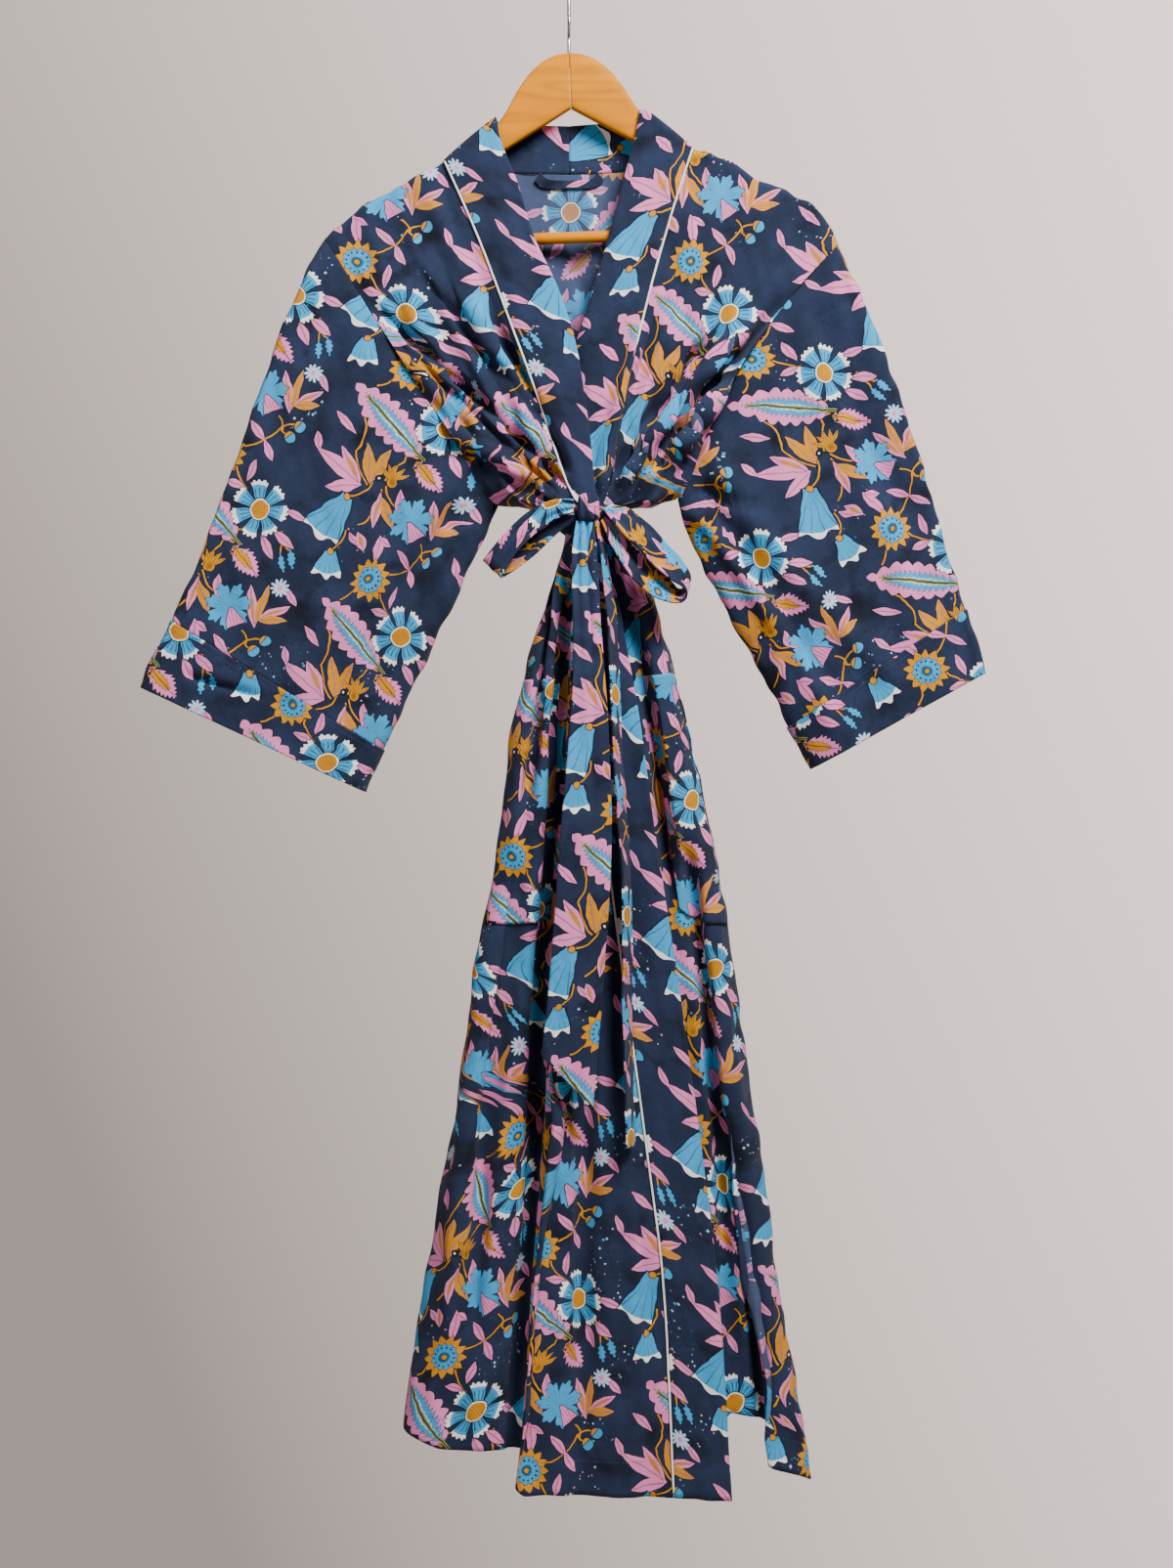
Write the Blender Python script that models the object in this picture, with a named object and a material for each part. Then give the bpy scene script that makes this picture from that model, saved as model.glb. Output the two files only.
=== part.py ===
"""A long cotton kimono robe on a wooden hanger, as it hangs: metres, +Z up, front towards -Y.

The origin is the inner top of the hanger's hook. Left and right are the viewer's. Each cloth
piece is a closed wall built on the surface of its pattern piece: u runs across the cloth and v
runs down it, and the tables below say where each section and each fold of that surface lies.
Table values are millimetres.
"""

import math
from collections import namedtuple

import bmesh
import bpy
from mathutils import Matrix, Vector

MM = 0.001

# Cloth
CLOTH = 1.2
DOUBLE_CLOTH = 1.8
SEAM_GAP = 0.6
SLEEVE_SEAM_GAP = 1.6
LAID_GAP = 0.4
SEAM_LIP = 0.5
BLOUSE_LIP = 0.8
NECK_SEAM_GAP = 1.4

# Hanger
HANGER_WOOD_TOP_Z = -60.0
HANGER_THICK = 13.0
HANGER_TILT = math.radians(2.2)
HANGER_EDGE_ROUND = 4.0
BAR_RADIUS = 5.5
BAR_DROP = 175.0
BAR_HALF_LENGTH = 200.0
WIRE_RADIUS = 1.6
HOOK_INNER_RADIUS = 18.0
HOOK_TIP_Z = -31.0
SHANK_DEPTH = 14.0
FIT_GAP = 0.3

# Neckband, belt, cuffs and pockets
PIPING_RADIUS = 1.2
PIPING_END = 0.997

# Heights along a panel, as v: the shoulder is 0 and the hem is 1
V_UNDERARM = 0.30
V_WAIST_IN = 0.33
V_WAIST_OUT = 0.36

ARMHOLE_DEPTH = 12.0
SHOULDER_ROUND = 0.022

# The side line of the body: the armhole seam down to the underarm, then the side seam
SidePoint = namedtuple("SidePoint", "v x z")
SIDE_LEFT = (
    SidePoint(0.000, -232, -237),
    SidePoint(0.075, -191, -302),
    SidePoint(0.150, -149, -368),
    SidePoint(0.225, -107, -431),
    SidePoint(0.300, -68, -489),
    SidePoint(0.330, -5, -497),
    SidePoint(0.360, -5, -528),
    SidePoint(0.420, -27, -600),
    SidePoint(0.490, -52, -690),
    SidePoint(0.580, -66, -800),
    SidePoint(0.680, -84, -930),
    SidePoint(0.780, -111, -1085),
    SidePoint(0.890, -136, -1220),
    SidePoint(1.000, -158, -1364),
)
SIDE_RIGHT = (
    SidePoint(0.000, 255, -244),
    SidePoint(0.075, 209, -295),
    SidePoint(0.150, 168, -352),
    SidePoint(0.225, 133, -418),
    SidePoint(0.300, 103, -483),
    SidePoint(0.330, 58, -496),
    SidePoint(0.360, 58, -528),
    SidePoint(0.420, 81, -600),
    SidePoint(0.490, 107, -690),
    SidePoint(0.580, 134, -800),
    SidePoint(0.680, 155, -930),
    SidePoint(0.780, 179, -1085),
    SidePoint(0.890, 200, -1235),
    SidePoint(1.000, 231, -1415),
)

# The front edges, where the neckband is sewn on. fold_share is how far across the panel's width
# the main skirt fold stands, depth is how far the panel comes forward of the side seams, and
# waves is the height of the gathers.
EdgeSection = namedtuple("EdgeSection", "v x z depth fold_share waves")
EDGE_LEFT = (
    EdgeSection(0.000, -119, -163, 10.5, 0.46, 0.0),
    EdgeSection(0.075, -86, -238, 11.5, 0.46, 0.2),
    EdgeSection(0.150, -58, -312, 14.0, 0.46, 0.5),
    EdgeSection(0.225, -30, -388, 20.0, 0.46, 0.8),
    EdgeSection(0.300, 6, -487, 29.0, 0.46, 0.2),
    EdgeSection(0.330, 19, -500, 27.0, 0.48, 0.1),
    EdgeSection(0.360, 20, -528, 26.0, 0.50, 0.3),
    EdgeSection(0.420, 20, -600, 29.0, 0.62, 0.4),
    EdgeSection(0.490, 24, -690, 31.0, 0.66, 0.6),
    EdgeSection(0.580, 34, -800, 33.0, 0.62, 0.8),
    EdgeSection(0.680, 50, -930, 34.0, 0.54, 0.8),
    EdgeSection(0.780, 71, -1085, 36.0, 0.47, 0.5),
    EdgeSection(0.890, 89, -1235, 37.0, 0.46, 0.3),
    EdgeSection(1.000, 98, -1422, 38.0, 0.46, 0.0),
)
EDGE_RIGHT = (
    EdgeSection(0.000, 118, -151, 10.5, 0.20, 0.0),
    EdgeSection(0.075, 96, -220, 11.0, 0.20, 0.2),
    EdgeSection(0.150, 75, -296, 12.0, 0.20, 0.5),
    EdgeSection(0.225, 56, -380, 15.0, 0.20, 0.8),
    EdgeSection(0.300, 34, -487, 20.0, 0.20, 0.2),
    EdgeSection(0.330, 26, -500, 17.0, 0.20, 0.1),
    EdgeSection(0.360, 24, -528, 16.0, 0.20, 0.3),
    EdgeSection(0.420, 22, -600, 18.0, 0.24, 0.4),
    EdgeSection(0.490, 22, -690, 19.0, 0.26, 0.6),
    EdgeSection(0.580, 24, -800, 19.0, 0.28, 0.8),
    EdgeSection(0.680, 28, -930, 18.0, 0.27, 0.8),
    EdgeSection(0.780, 34, -1085, 17.0, 0.25, 0.5),
    EdgeSection(0.890, 38, -1235, 17.0, 0.20, 0.3),
    EdgeSection(1.000, 42, -1400, 17.0, 0.19, 0.0),
)

# How far the back panel stands behind the side seams
BackSection = namedtuple("BackSection", "v depth waves")
BACK_SECTIONS = (
    BackSection(0.000, 10.5, 0.0),
    BackSection(0.150, 13.0, 0.6),
    BackSection(0.300, 23.0, 0.8),
    BackSection(0.330, 21.0, 0.4),
    BackSection(0.360, 21.0, 0.4),
    BackSection(0.490, 26.0, 0.8),
    BackSection(0.680, 30.0, 0.8),
    BackSection(1.000, 34.0, 0.0),
)

# The line of the shoulder and neck, as height of the panel's top at each place across
TopPoint = namedtuple("TopPoint", "u x z")
FRONT_LEFT_TOP = (
    TopPoint(0.00, -232, -237),
    TopPoint(0.14, -217, -224),
    TopPoint(0.32, -197, -208),
    TopPoint(0.54, -172, -193),
    TopPoint(0.72, -152, -181),
    TopPoint(0.90, -131, -172),
    TopPoint(1.00, -119, -163),
)
FRONT_RIGHT_TOP = (
    TopPoint(0.00, 255, -244),
    TopPoint(0.05, 248, -226),
    TopPoint(0.18, 231, -207),
    TopPoint(0.40, 202, -189),
    TopPoint(0.55, 183, -182),
    TopPoint(0.80, 148, -162),
    TopPoint(1.00, 118, -151),
)
NECK_LEFT_U, NECK_RIGHT_U = 0.25, 0.75
BACK_NECK = (
    TopPoint(0.25, -119, -163),
    TopPoint(0.31, -92, -168),
    TopPoint(0.38, -62, -171),
    TopPoint(0.50, 0, -172),
    TopPoint(0.62, 60, -169),
    TopPoint(0.69, 90, -161),
    TopPoint(0.75, 118, -151),
)
NECK_BACK_DEPTH = 13.0

# The hem's height at each place across a panel
HemPoint = namedtuple("HemPoint", "u z")
HEM_LEFT = (
    HemPoint(0.00, -1364),
    HemPoint(0.14, -1377),
    HemPoint(0.40, -1380),
    HemPoint(0.52, -1417),
    HemPoint(1.00, -1422),
)
HEM_RIGHT = (
    HemPoint(0.00, -1415),
    HemPoint(0.16, -1397),
    HemPoint(0.30, -1356),
    HemPoint(0.42, -1350),
    HemPoint(0.55, -1386),
    HemPoint(1.00, -1400),
)
HEM_BACK = (
    HemPoint(0.00, -1364),
    HemPoint(0.30, -1372),
    HemPoint(0.60, -1360),
    HemPoint(0.80, -1352),
    HemPoint(0.90, -1372),
    HemPoint(1.00, -1415),
)

# Folds that lap over: the cloth runs lap past the fold, back under it, and on, step further
# forward. Each row gives both at the bust, the waist, the knee and the hem.
Lap = namedtuple("Lap", "u width lap_bust lap_waist lap_knee lap_hem step_waist step_knee step_hem")
LAPS_LEFT = (Lap(0.46, 0.060, 0, 0, 10, 20, 0, 11, 18),)
LAPS_RIGHT = (Lap(0.20, 0.075, 0, 0, 0, 15, 0, -4, -14),)

# Soft folds that stand out from a panel or sink into it. Each level gives the fold's height as
# a share of its own width there, so that a fold flattens where the cloth is drawn in.
Ridge = namedtuple("Ridge", "u width shoulder bust underarm waist hip knee hem")
RIDGES_LEFT = (
    Ridge(0.10, 0.050, 0.0, 0.7, 0.5, 0.2, 0.4, 0.4, 0.0),
    Ridge(0.27, 0.055, 0.1, 0.8, 0.5, 0.2, 0.7, 0.6, 0.4),
    Ridge(0.38, 0.040, 0.0, -0.4, -0.4, 0.0, -0.7, -0.6, -0.5),
    Ridge(0.53, 0.055, 0.2, 0.9, 0.5, 0.2, 0.3, 0.2, 0.1),
    Ridge(0.66, 0.045, 0.0, -0.6, -0.4, 0.0, -0.5, -0.6, -0.4),
    Ridge(0.79, 0.055, 0.2, 0.9, 0.5, 0.2, 0.4, 0.4, 0.3),
    Ridge(0.91, 0.040, 0.0, -0.6, -0.3, 0.0, 0.0, -0.3, -0.3),
)
RIDGES_RIGHT = (
    Ridge(0.09, 0.050, 0.0, 0.6, 0.5, 0.2, 0.5, 0.6, 0.3),
    Ridge(0.23, 0.055, 0.2, 0.9, 0.5, 0.0, 0.0, 0.0, 0.0),
    Ridge(0.36, 0.045, 0.0, -0.6, -0.4, 0.0, -0.3, 0.0, 0.0),
    Ridge(0.50, 0.055, 0.2, 0.9, 0.5, 0.0, 0.0, 0.2, 0.2),
    Ridge(0.64, 0.045, 0.0, -0.6, -0.4, 0.0, 0.0, 0.0, 0.0),
    Ridge(0.78, 0.055, 0.2, 0.9, 0.4, 0.0, 0.0, 0.2, 0.2),
    Ridge(0.92, 0.040, 0.0, -0.5, -0.2, 0.0, 0.0, 0.0, 0.0),
)
RIDGES_BACK = (
    Ridge(0.10, 0.040, 0.0, 0.4, 0.5, 0.2, 0.6, 0.7, 0.6),
    Ridge(0.24, 0.045, 0.0, 0.5, 0.5, 0.2, 0.6, 0.8, 0.8),
    Ridge(0.37, 0.040, 0.0, 0.4, 0.5, 0.2, 0.6, 0.6, 0.5),
    Ridge(0.50, 0.045, 0.0, 0.5, 0.5, 0.2, 0.7, 0.9, 0.9),
    Ridge(0.63, 0.040, 0.0, 0.4, 0.5, 0.2, 0.6, 0.6, 0.5),
    Ridge(0.77, 0.045, 0.0, 0.5, 0.5, 0.2, 0.6, 0.8, 0.7),
    Ridge(0.90, 0.040, 0.0, 0.4, 0.4, 0.2, 0.5, 0.5, 0.4),
)
RIDGE_LEVELS = (0.0, 0.17, 0.28, 0.345, 0.44, 0.72, 1.0)

GATHERS_FRONT = 4
GATHERS_BACK = 8
SIDE_ROUND_FRONT = 0.16
SIDE_ROUND_BACK = 0.10
LAP_GAIN = 2.33
HEM_SHAPED_FROM = 0.45

# Sleeves: the upper and the inner edge from the armhole to the cuff
SleeveEdge = namedtuple("SleeveEdge", "w outer_x outer_z inner_x inner_z depth")
SLEEVE_LEFT = (
    SleeveEdge(0.00, -232, -237, -68, -489, 12.0),
    SleeveEdge(0.12, -252, -274, -82, -519, 15.0),
    SleeveEdge(0.30, -283, -355, -104, -568, 17.0),
    SleeveEdge(0.50, -312, -435, -131, -624, 18.0),
    SleeveEdge(0.75, -354, -548, -163, -690, 20.0),
    SleeveEdge(1.00, -405, -663, -196, -761, 23.0),
)
SLEEVE_RIGHT = (
    SleeveEdge(0.00, 255, -244, 103, -483, 12.0),
    SleeveEdge(0.12, 270, -276, 113, -514, 15.0),
    SleeveEdge(0.30, 301, -350, 136, -564, 17.0),
    SleeveEdge(0.50, 327, -430, 159, -606, 18.0),
    SleeveEdge(0.75, 360, -540, 193, -668, 20.0),
    SleeveEdge(1.00, 393, -650, 231, -740, 23.0),
)
# Soft folds down a sleeve: a is the place from its upper to its inner edge
SleeveFold = namedtuple("SleeveFold", "a width armhole middle cuff")
SLEEVE_FOLDS_LEFT = (
    SleeveFold(0.22, 0.08, 1.5, 2.5, 3.0),
    SleeveFold(0.48, 0.07, 0.0, -3.0, -4.0),
    SleeveFold(0.74, 0.08, 3.0, 3.0, 3.0),
)
SLEEVE_FOLDS_RIGHT = (
    SleeveFold(0.25, 0.08, 2.0, 2.5, 2.0),
    SleeveFold(0.52, 0.07, 0.0, -3.0, -3.0),
    SleeveFold(0.80, 0.07, 3.0, 3.0, 3.0),
)
SLEEVE_BAND_FROM = 0.865

# Neckband: its free edge from the crest over the hanger down to the hem, and behind the neck
FreeEdge = namedtuple("FreeEdge", "v x z forward")
BAND_LEFT_FREE = (
    FreeEdge(0.000, -70, -121, 0.0),
    FreeEdge(0.003, -69, -123, 7.5),
    FreeEdge(0.008, -68, -127, 9.8),
    FreeEdge(0.020, -66, -140, 10.2),
    FreeEdge(0.050, -50, -181, 11.0),
    FreeEdge(0.100, -33, -236, 12.0),
    FreeEdge(0.150, -11, -284, 14.0),
    FreeEdge(0.200, 7, -340, 17.0),
    FreeEdge(0.250, 19, -420, 24.0),
    FreeEdge(0.300, 27, -486, 30.0),
    FreeEdge(0.330, 38, -499, 25.0),
    FreeEdge(0.360, 41, -528, 24.0),
    FreeEdge(0.420, 50, -600, 29.0),
    FreeEdge(0.490, 66, -690, 32.0),
    FreeEdge(0.580, 81, -800, 33.0),
    FreeEdge(0.680, 101, -930, 33.0),
    FreeEdge(0.780, 123, -1085, 34.0),
    FreeEdge(0.890, 141, -1238, 34.0),
    FreeEdge(1.000, 153, -1426, 35.0),
)
BAND_RIGHT_FREE = (
    FreeEdge(0.000, 69, -111, 0.0),
    FreeEdge(0.003, 68, -113, 8.0),
    FreeEdge(0.008, 67, -118, 9.8),
    FreeEdge(0.020, 64, -135, 10.2),
    FreeEdge(0.050, 53, -177, 10.5),
    FreeEdge(0.100, 38, -235, 11.0),
    FreeEdge(0.150, 18, -302, 11.5),
    FreeEdge(0.200, 3, -356, 12.0),
    FreeEdge(0.250, -2, -425, 15.0),
    FreeEdge(0.300, 8, -485, 18.0),
    FreeEdge(0.330, 10, -499, 15.0),
    FreeEdge(0.360, 9, -528, 14.0),
    FreeEdge(0.420, 2, -600, 14.0),
    FreeEdge(0.490, -6, -690, 14.0),
    FreeEdge(0.580, -10, -800, 14.0),
    FreeEdge(0.680, -14, -930, 14.0),
    FreeEdge(0.780, -14, -1085, 13.0),
    FreeEdge(0.890, -12, -1235, 13.0),
    FreeEdge(1.000, -9, -1402, 13.0),
)
# Behind the neck, b runs from the crest at 0 to the centre back at 1
NeckEdge = namedtuple("NeckEdge", "b x z back")
NECK_LEFT_FREE = (
    NeckEdge(0.0, -70, -121, 0.0),
    NeckEdge(0.04, -69, -121, 8.0),
    NeckEdge(0.12, -67, -122, 10.5),
    NeckEdge(0.5, -46, -124, 14.0),
    NeckEdge(1.0, 0, -125, 15.0),
)
NECK_RIGHT_FREE = (
    NeckEdge(0.0, 69, -111, 0.0),
    NeckEdge(0.04, 68, -112, 8.0),
    NeckEdge(0.12, 65, -116, 10.5),
    NeckEdge(0.5, 45, -121, 14.0),
    NeckEdge(1.0, 0, -125, 15.0),
)

# Belt and bow. Each ribbon row gives its middle, and half its width along X, Y and Z.
WAIST_CENTRE = (26.5, -2.0)
WAIST_HALF = (36.5, 31.0)
BELT_WAIST_Z = (-499.0, -528.0)
Ribbon = namedtuple("Ribbon", "x y z wide_x wide_y wide_z")
BOW_LEFT = (
    Ribbon(3.2, -43.5, -497, 0, 0, -6),
    Ribbon(-14, -49, -503, 3, 0, -9),
    Ribbon(-34, -51, -517, 6, 0, -10),
    Ribbon(-54, -52, -537, 7, 0, -9),
    Ribbon(-66, -51, -551, 8, 0, -8),
    Ribbon(-70, -47, -555, 8, 0, -8),
    Ribbon(-66, -43, -553, 8, 0, -8),
    Ribbon(-52, -41, -543, 7, 0, -8),
    Ribbon(-34, -39, -530, 6, 0, -8),
    Ribbon(-16, -38, -517, 4, 0, -7),
    Ribbon(6.0, -38.0, -504, 1, 0, -3),
)
BOW_RIGHT = (
    Ribbon(33.6, -43.5, -496, 1, 5, 3),
    Ribbon(50, -48, -506, 5, 8, 7),
    Ribbon(68, -50, -523, 6, 9, 7),
    Ribbon(85, -51, -541, 6, 9, 7),
    Ribbon(100, -51, -556, 5, 9, 7),
    Ribbon(109, -51, -566, 4, 10, 7),
    Ribbon(110, -51, -574, 2, 10, 7),
    Ribbon(102, -51, -579, 1, 10, 7),
    Ribbon(89, -50, -574, 4, 9, 8),
    Ribbon(73, -49, -560, 6, 9, 8),
    Ribbon(57, -47, -542, 6, 9, 8),
    Ribbon(44, -45, -525, 5, 8, 7),
    Ribbon(31.6, -42, -507, 1, 4, 2),
)
TAIL_FRONT = (
    Ribbon(17, -45, -509.6, 6, 1, 0),
    Ribbon(17, -52, -545, 9, 1, 0),
    Ribbon(18, -56, -604, 12, 2, 0),
    Ribbon(19, -58, -655, 15, 2, 0),
    Ribbon(19, -60, -705, 18, 2, 0),
    Ribbon(16, -63, -809, 24, 2, 0),
    Ribbon(8, -64, -930, 25, 2, 0),
    Ribbon(-1, -64, -1030, 24, 2, -24),
)
TAIL_SIDE = (
    Ribbon(25.5, -42, -509.2, 1.5, 3, 0),
    Ribbon(33, -45, -545, 3, 6, 0),
    Ribbon(42, -51, -630, 4, 9, 0),
    Ribbon(46, -54, -731, 4, 10, 0),
    Ribbon(53, -55, -830, 4, 10, 0),
    Ribbon(55, -56, -960, 4, 10, 0),
    Ribbon(57, -57, -1091, 4, 10, 0),
)
KNOT_CENTRE = (18.5, -43.5, -497.0)
KNOT_HALF = (14.0, 9.0, 12.0)

Patch = namedtuple("Patch", "u_from u_to z_top z_bottom")
POCKET_LEFT = Patch(0.02, 0.38, -657.0, -886.0)
POCKET_RIGHT = Patch(0.02, 0.30, -652.0, -886.0)
HANGING_LOOP = (
    Ribbon(-30, 11, -174, 3, 0, 4),
    Ribbon(-22, 11, -181, 2, 0, 4),
    Ribbon(0, 11, -182, 0, 0, 4),
    Ribbon(22, 11, -181, -2, 0, 4),
    Ribbon(30, 11, -174, -3, 0, 4),
)
HANGING_LOOP_GAP = 2.2

# One half of the hanger's wood, as distance from its middle and drop below its top
WoodPoint = namedtuple("WoodPoint", "out top bottom")
WOOD = (
    WoodPoint(0.15, 0.0, 52.5),
    WoodPoint(9.0, 1.0, 57.7),
    WoodPoint(20.5, 4.6, 64.4),
    WoodPoint(36.0, 16.0, 73.4),
    WoodPoint(50.0, 33.5, 81.5),
    WoodPoint(61.0, 52.2, 88.0),
    WoodPoint(72.0, 67.0, 94.5),
    WoodPoint(84.0, 79.5, 101.5),
    WoodPoint(101.0, 92.0, 111.5),
    WoodPoint(119.0, 103.0, 122.5),
    WoodPoint(133.0, 112.0, 131.5),
    WoodPoint(152.0, 121.0, 143.5),
    WoodPoint(173.0, 132.5, 158.0),
    WoodPoint(196.0, 147.0, 176.0),
    WoodPoint(208.0, 155.0, 185.0),
    WoodPoint(217.0, 162.5, 186.0),
    WoodPoint(222.0, 168.0, 181.0),
)

NAVY = (0.026, 0.046, 0.115)
WHITE_PIPING = (0.84, 0.82, 0.76)
HONEY_WOOD = (0.62, 0.33, 0.085)
STEEL = (0.62, 0.62, 0.60)


def smooth(at, table, column, key="v"):
    """A table's column read at a place, by a cubic that never overshoots its rows."""
    places = [getattr(row, key) for row in table]
    values = [getattr(row, column) for row in table]
    at = min(max(at, places[0]), places[-1])
    slopes = [
        (values[i + 1] - values[i]) / (places[i + 1] - places[i]) for i in range(len(places) - 1)
    ]

    def tangent(i):
        if i == 0:
            return slopes[0]
        if i == len(places) - 1:
            return slopes[-1]
        before, after = slopes[i - 1], slopes[i]
        if before * after <= 0:
            return 0.0
        return 2 * before * after / (before + after)

    i = 0
    while i < len(slopes) - 1 and at > places[i + 1]:
        i += 1
    step = places[i + 1] - places[i]
    t = (at - places[i]) / step
    return (
        (1 + 2 * t) * (1 - t) ** 2 * values[i]
        + t * (1 - t) ** 2 * step * tangent(i)
        + t * t * (3 - 2 * t) * values[i + 1]
        + t * t * (t - 1) * step * tangent(i + 1)
    )


def between(at, places, values):
    """Values read straight between their places."""
    if at <= places[0]:
        return values[0]
    for left, right, low, high in zip(places, places[1:], values, values[1:]):
        if at <= right:
            return low + (high - low) * (at - left) / (right - left)
    return values[-1]


def bump(at, centre, width):
    return math.exp(-(((at - centre) / width) ** 2))


def ease(t):
    t = min(max(t, 0.0), 1.0)
    return t * t * (3 - 2 * t)


def ring_profile(f):
    """Half the depth of the armhole ring, from its top at 0 to the underarm at 1."""
    over_arm = math.sqrt(1 - (1 - min(f / SHOULDER_ROUND, 1.0)) ** 2)
    if f < 0.5:
        return over_arm
    return (1 - (2 * f - 1) ** 5) ** 0.5


def side_point(v, side):
    return smooth(v, side, "x"), smooth(v, side, "z")


def ridge_height(ridges, u, v, breadth):
    """The height of the soft folds at a place, on a panel that is breadth wide there."""
    total = 0.0
    for ridge in ridges:
        share = between(v, RIDGE_LEVELS, ridge[2:])
        total += share * ridge.width * breadth * bump(u, ridge.u, ridge.width)
    return total


def roundness(at, reach):
    """A quarter round that rises from 0 to 1 over reach."""
    return math.sqrt(max(0.0, 1 - (1 - min(at / reach, 1.0)) ** 2))


def side_lip(v):
    """How far a panel's side edge stands from the side seam, more under the blousing."""
    return SEAM_LIP + BLOUSE_LIP * bump(v, V_UNDERARM + 0.015, 0.02)


def near_waist(v):
    return bump(v, (V_WAIST_IN + V_WAIST_OUT) / 2, 0.045)


def lap_shift(laps, u, v):
    """How far a lapped fold moves the cloth across, and how far forward, at a place."""
    across = forward = 0.0
    for lap in laps:
        t = (u - lap.u) / lap.width
        size = between(
            v,
            (0.1, 0.2, V_WAIST_IN, V_WAIST_OUT, 0.72, 1.0),
            (0.0, lap.lap_bust, lap.lap_waist, lap.lap_waist, lap.lap_knee, lap.lap_hem),
        )
        step = between(
            v, (V_WAIST_OUT, 0.72, 1.0), (lap.step_waist, lap.step_knee, lap.step_hem)
        )
        across -= size * LAP_GAIN * t * math.exp(-t * t)
        forward += step * (ease((t + 1) / 2) - u)
    return across, forward


Panel = namedtuple("Panel", "side edge top hem laps ridges lap_u")
FRONT_LEFT = Panel(SIDE_LEFT, EDGE_LEFT, FRONT_LEFT_TOP, HEM_LEFT, LAPS_LEFT, RIDGES_LEFT, 0.46)
FRONT_RIGHT = Panel(
    SIDE_RIGHT, EDGE_RIGHT, FRONT_RIGHT_TOP, HEM_RIGHT, LAPS_RIGHT, RIDGES_RIGHT, 0.20
)


def across_share(u, share, lap_u):
    """The share of a panel's width at u, with the main fold at its own share."""
    if u < lap_u:
        return u * share / lap_u
    return share + (1 - share) * (u - lap_u) / (1 - lap_u)


def hem_drop(u, v, table):
    """How far below the straight line between its two ends the hem hangs at u."""
    target = between(u, [row.u for row in table], [row.z for row in table])
    straight = table[0].z + (table[-1].z - table[0].z) * u
    return ease((v - HEM_SHAPED_FROM) / (1 - HEM_SHAPED_FROM)) * (target - straight)


def front_point(panel, u, v):
    """A point on a front: u from the side seam to the neckband, v from shoulder to hem."""
    side_x, side_z = side_point(v, panel.side)
    edge_x = smooth(v, panel.edge, "x")
    edge_z = smooth(v, panel.edge, "z")
    facing = 1.0 if edge_x > side_x else -1.0
    skirt = ease((v - V_WAIST_IN) / 0.05)
    share = across_share(u, smooth(v, panel.edge, "fold_share"), panel.lap_u)
    share = u + (share - u) * skirt
    x = side_x + (edge_x - side_x) * share
    z = side_z + (edge_z - side_z) * u
    if v < V_UNDERARM:
        top_x = smooth(u, panel.top, "x", "u")
        top_z = smooth(u, panel.top, "z", "u")
        fade = (1 - v / V_UNDERARM) ** 2
        x += fade * (top_x - (panel.top[0].x + (panel.top[-1].x - panel.top[0].x) * u))
        z += fade * (top_z - (panel.top[0].z + (panel.top[-1].z - panel.top[0].z) * u))
    z += hem_drop(u, v, panel.hem)

    depth = smooth(v, panel.edge, "depth")
    if v < V_UNDERARM:
        f = v / V_UNDERARM
        side_depth = side_lip(v) + (ARMHOLE_DEPTH - side_lip(v)) * ring_profile(f)
        depth = SEAM_LIP + (depth - SEAM_LIP) * min(1.0, ring_profile(min(f, 0.5)))
    else:
        side_depth = side_lip(v)
    reach = SIDE_ROUND_FRONT + (1.0 - SIDE_ROUND_FRONT) * near_waist(v)
    tube = ease((v - V_UNDERARM) / (V_WAIST_IN - V_UNDERARM))
    rise = (1 - tube) * ease(u / 0.35) + tube * roundness(u, reach)
    y = side_depth + (depth - side_depth) * rise

    free = ease(u / 0.10) * ease((1 - u) / 0.08) * ease(v / 0.05)
    across, forward = lap_shift(panel.laps, u, v)
    waves = smooth(v, panel.edge, "waves")
    y += free * ridge_height(panel.ridges, u, v, abs(edge_x - side_x))
    y += free * waves * math.sin(2 * math.pi * GATHERS_FRONT * u)
    y += forward
    return Vector((x + facing * across, -y, z)) * MM


def back_top(u):
    """The back panel's top: left shoulder seam, back neck, right shoulder seam."""
    if u < NECK_LEFT_U:
        at = u / NECK_LEFT_U
        return smooth(at, FRONT_LEFT_TOP, "x", "u"), smooth(at, FRONT_LEFT_TOP, "z", "u"), 0.0
    if u > NECK_RIGHT_U:
        at = (1 - u) / (1 - NECK_RIGHT_U)
        return smooth(at, FRONT_RIGHT_TOP, "x", "u"), smooth(at, FRONT_RIGHT_TOP, "z", "u"), 0.0
    behind = roundness(u - NECK_LEFT_U, 0.06) * roundness(NECK_RIGHT_U - u, 0.06)
    return smooth(u, BACK_NECK, "x", "u"), smooth(u, BACK_NECK, "z", "u"), behind


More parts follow.
